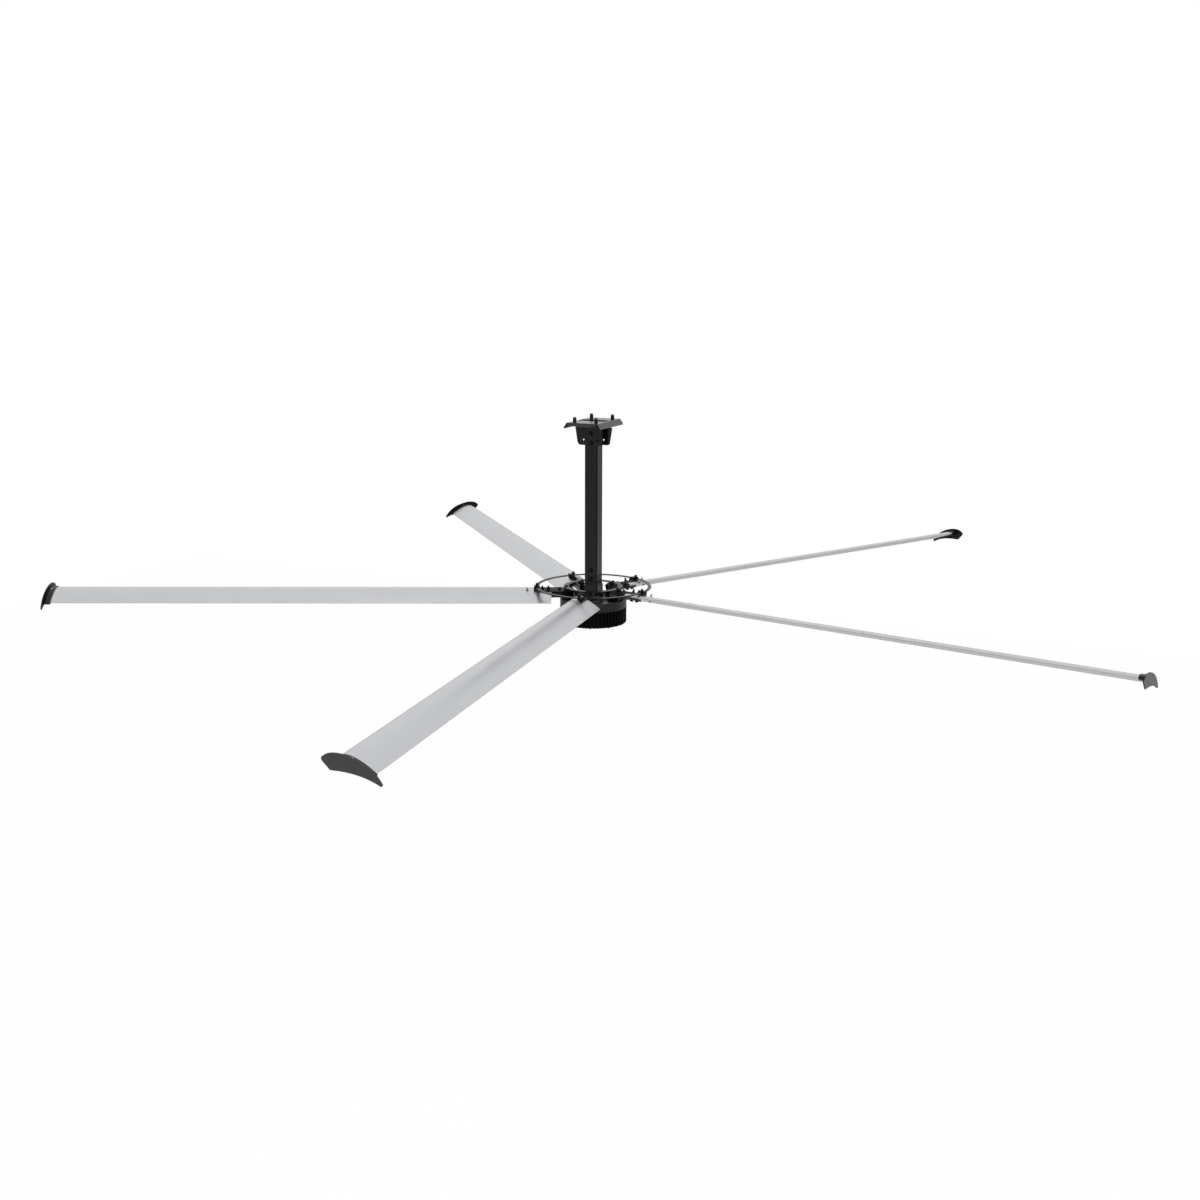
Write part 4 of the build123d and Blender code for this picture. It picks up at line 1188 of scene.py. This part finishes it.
    def floor(self) -> None:
        """Plain pale floor far below the fan.

        The camera sees it nearly white with a faint shadow, and a view from below looks through it.
        """
        h, z = self.floor_half, self.floor_level
        data = bpy.data.meshes.new("floor")
        data.from_pydata([(-h, -h, z), (h, -h, z), (h, h, z), (-h, h, z)], [], [(0, 1, 2, 3)])
        material = bpy.data.materials.new("Floor, pale matt vinyl")
        material.use_nodes = True
        tree = material.node_tree
        tree.nodes.clear()
        matt = add_node(tree, "ShaderNodeBsdfDiffuse", {"Color": linear(self.floor_hue)})
        glow = add_node(tree, "ShaderNodeEmission", {"Color": linear("#ffffff"), "Strength": 1.0})
        rays = add_node(tree, "ShaderNodeLightPath").outputs
        mirrored = add_node(
            tree, "ShaderNodeMath", {0: rays["Is Glossy Ray"], 1: self.floor_mirrored}, operation="MULTIPLY"
        ).outputs["Value"]
        seen = add_node(
            tree,
            "ShaderNodeMath",
            {0: rays["Is Camera Ray"], 1: self.floor_seen, 2: mirrored},
            operation="MULTIPLY_ADD",
        ).outputs["Value"]
        above = add_node(
            tree, "ShaderNodeMixShader", {0: seen, 1: matt.outputs["BSDF"], 2: glow.outputs["Emission"]}
        )
        clear = add_node(tree, "ShaderNodeBsdfTransparent")
        under = add_node(tree, "ShaderNodeNewGeometry").outputs["Backfacing"]
        both = add_node(
            tree, "ShaderNodeMixShader", {0: under, 1: above.outputs["Shader"], 2: clear.outputs["BSDF"]}
        )
        add_node(tree, "ShaderNodeOutputMaterial", {"Surface": both.outputs["Shader"]})
        data.materials.append(material)
        floor = bpy.data.objects.new("floor", data)
        bpy.context.scene.collection.objects.link(floor)

    def build(self) -> None:
        """Set up the camera, the room and the lamps."""
        self.camera()
        self.world()
        self.floor()
        for lamp in self.lamps:
            lamp.hang()
        bpy.context.scene.view_settings.view_transform = "Standard"
        LOG.info("studio is set")


@dataclass
class Wardrobe:
    """One made material for each finish, and the CAD nodes that wear it.

    Attributes:
        arms: the arms, whose directions the blades' and winglets' finishes follow.
        satin_nodes: the nodes in satin powder coat.
        made: the material of each slot.
    """

    arms: Arms
    satin_nodes: tuple[str, ...] = ("outer_ring", "hub_ring", "ring_clips")
    made: dict[Slot, bpy.types.Material] = field(default_factory=dict)

    def sew(self) -> None:
        """Make each slot's material but the blades' and winglets', which need one for each direction."""
        finishes = {
            Slot.POWDER: POWDER_COAT,
            Slot.OXIDE: BLACK_OXIDE,
            Slot.ZINC: ZINC_PLATE,
            Slot.RUBBER: RUBBER,
            Slot.TURNED: TURNED_STEEL,
            Slot.BEARING: BEARING_STEEL,
            Slot.LAMINATION: LAMINATION,
            Slot.COPPER: COPPER_WIRE,
            Slot.MAGNET: NICKEL_PLATE,
            Slot.CASTING: PAINTED_CASTING,
            Slot.SPAR: ANODISED_SPAR,
        }
        self.made = {slot: finish.material() for slot, finish in finishes.items()}

    def dress_nodes(self, frame: dict[str, Any]) -> None:
        """Dress each CAD node by its slot in the record, and a few by name.
        """
        nodes = frame["nodes"]
        for part in frame["record"]["subparts"]:
            slot = Slot(part["material_slot"])
            if slot in self.made:
                dress(nodes[part["node"]], self.made[slot])
        for number, angle in enumerate(self.arms.angles(), 1):
            dress(nodes[f"blade_{number}"], blade_finish(angle).material())
            outer = Face(TEXTURED_WINGLET, self.arms.winglet_face - self.arms.face_margin)
            dress(nodes[f"winglet_{number}"], winglet_finish(angle).material(outer))
        dress(nodes["finned_housing"], MATT_CASTING.material())
        satin = SATIN_POWDER.material()
        for name in self.satin_nodes:
            dress(nodes[name], satin)


def main() -> None:
    """Load the frame, dress its nodes, make the pieces and set up the studio."""
    logging.basicConfig(level=logging.INFO, format="%(message)s")
    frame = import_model()
    Studio().build()
    arms = Arms()
    wardrobe = Wardrobe(arms)
    wardrobe.sew()
    wardrobe.dress_nodes(frame)
    fasteners = Fasteners()
    arms.build(fasteners, wardrobe.made[Slot.OXIDE], wardrobe.made[Slot.ZINC])
    Ceiling().build(fasteners, wardrobe.made[Slot.POWDER])
    Motor().build(wardrobe.made[Slot.RUBBER], wardrobe.made[Slot.CASTING])


if __name__ == "__main__":
    main()
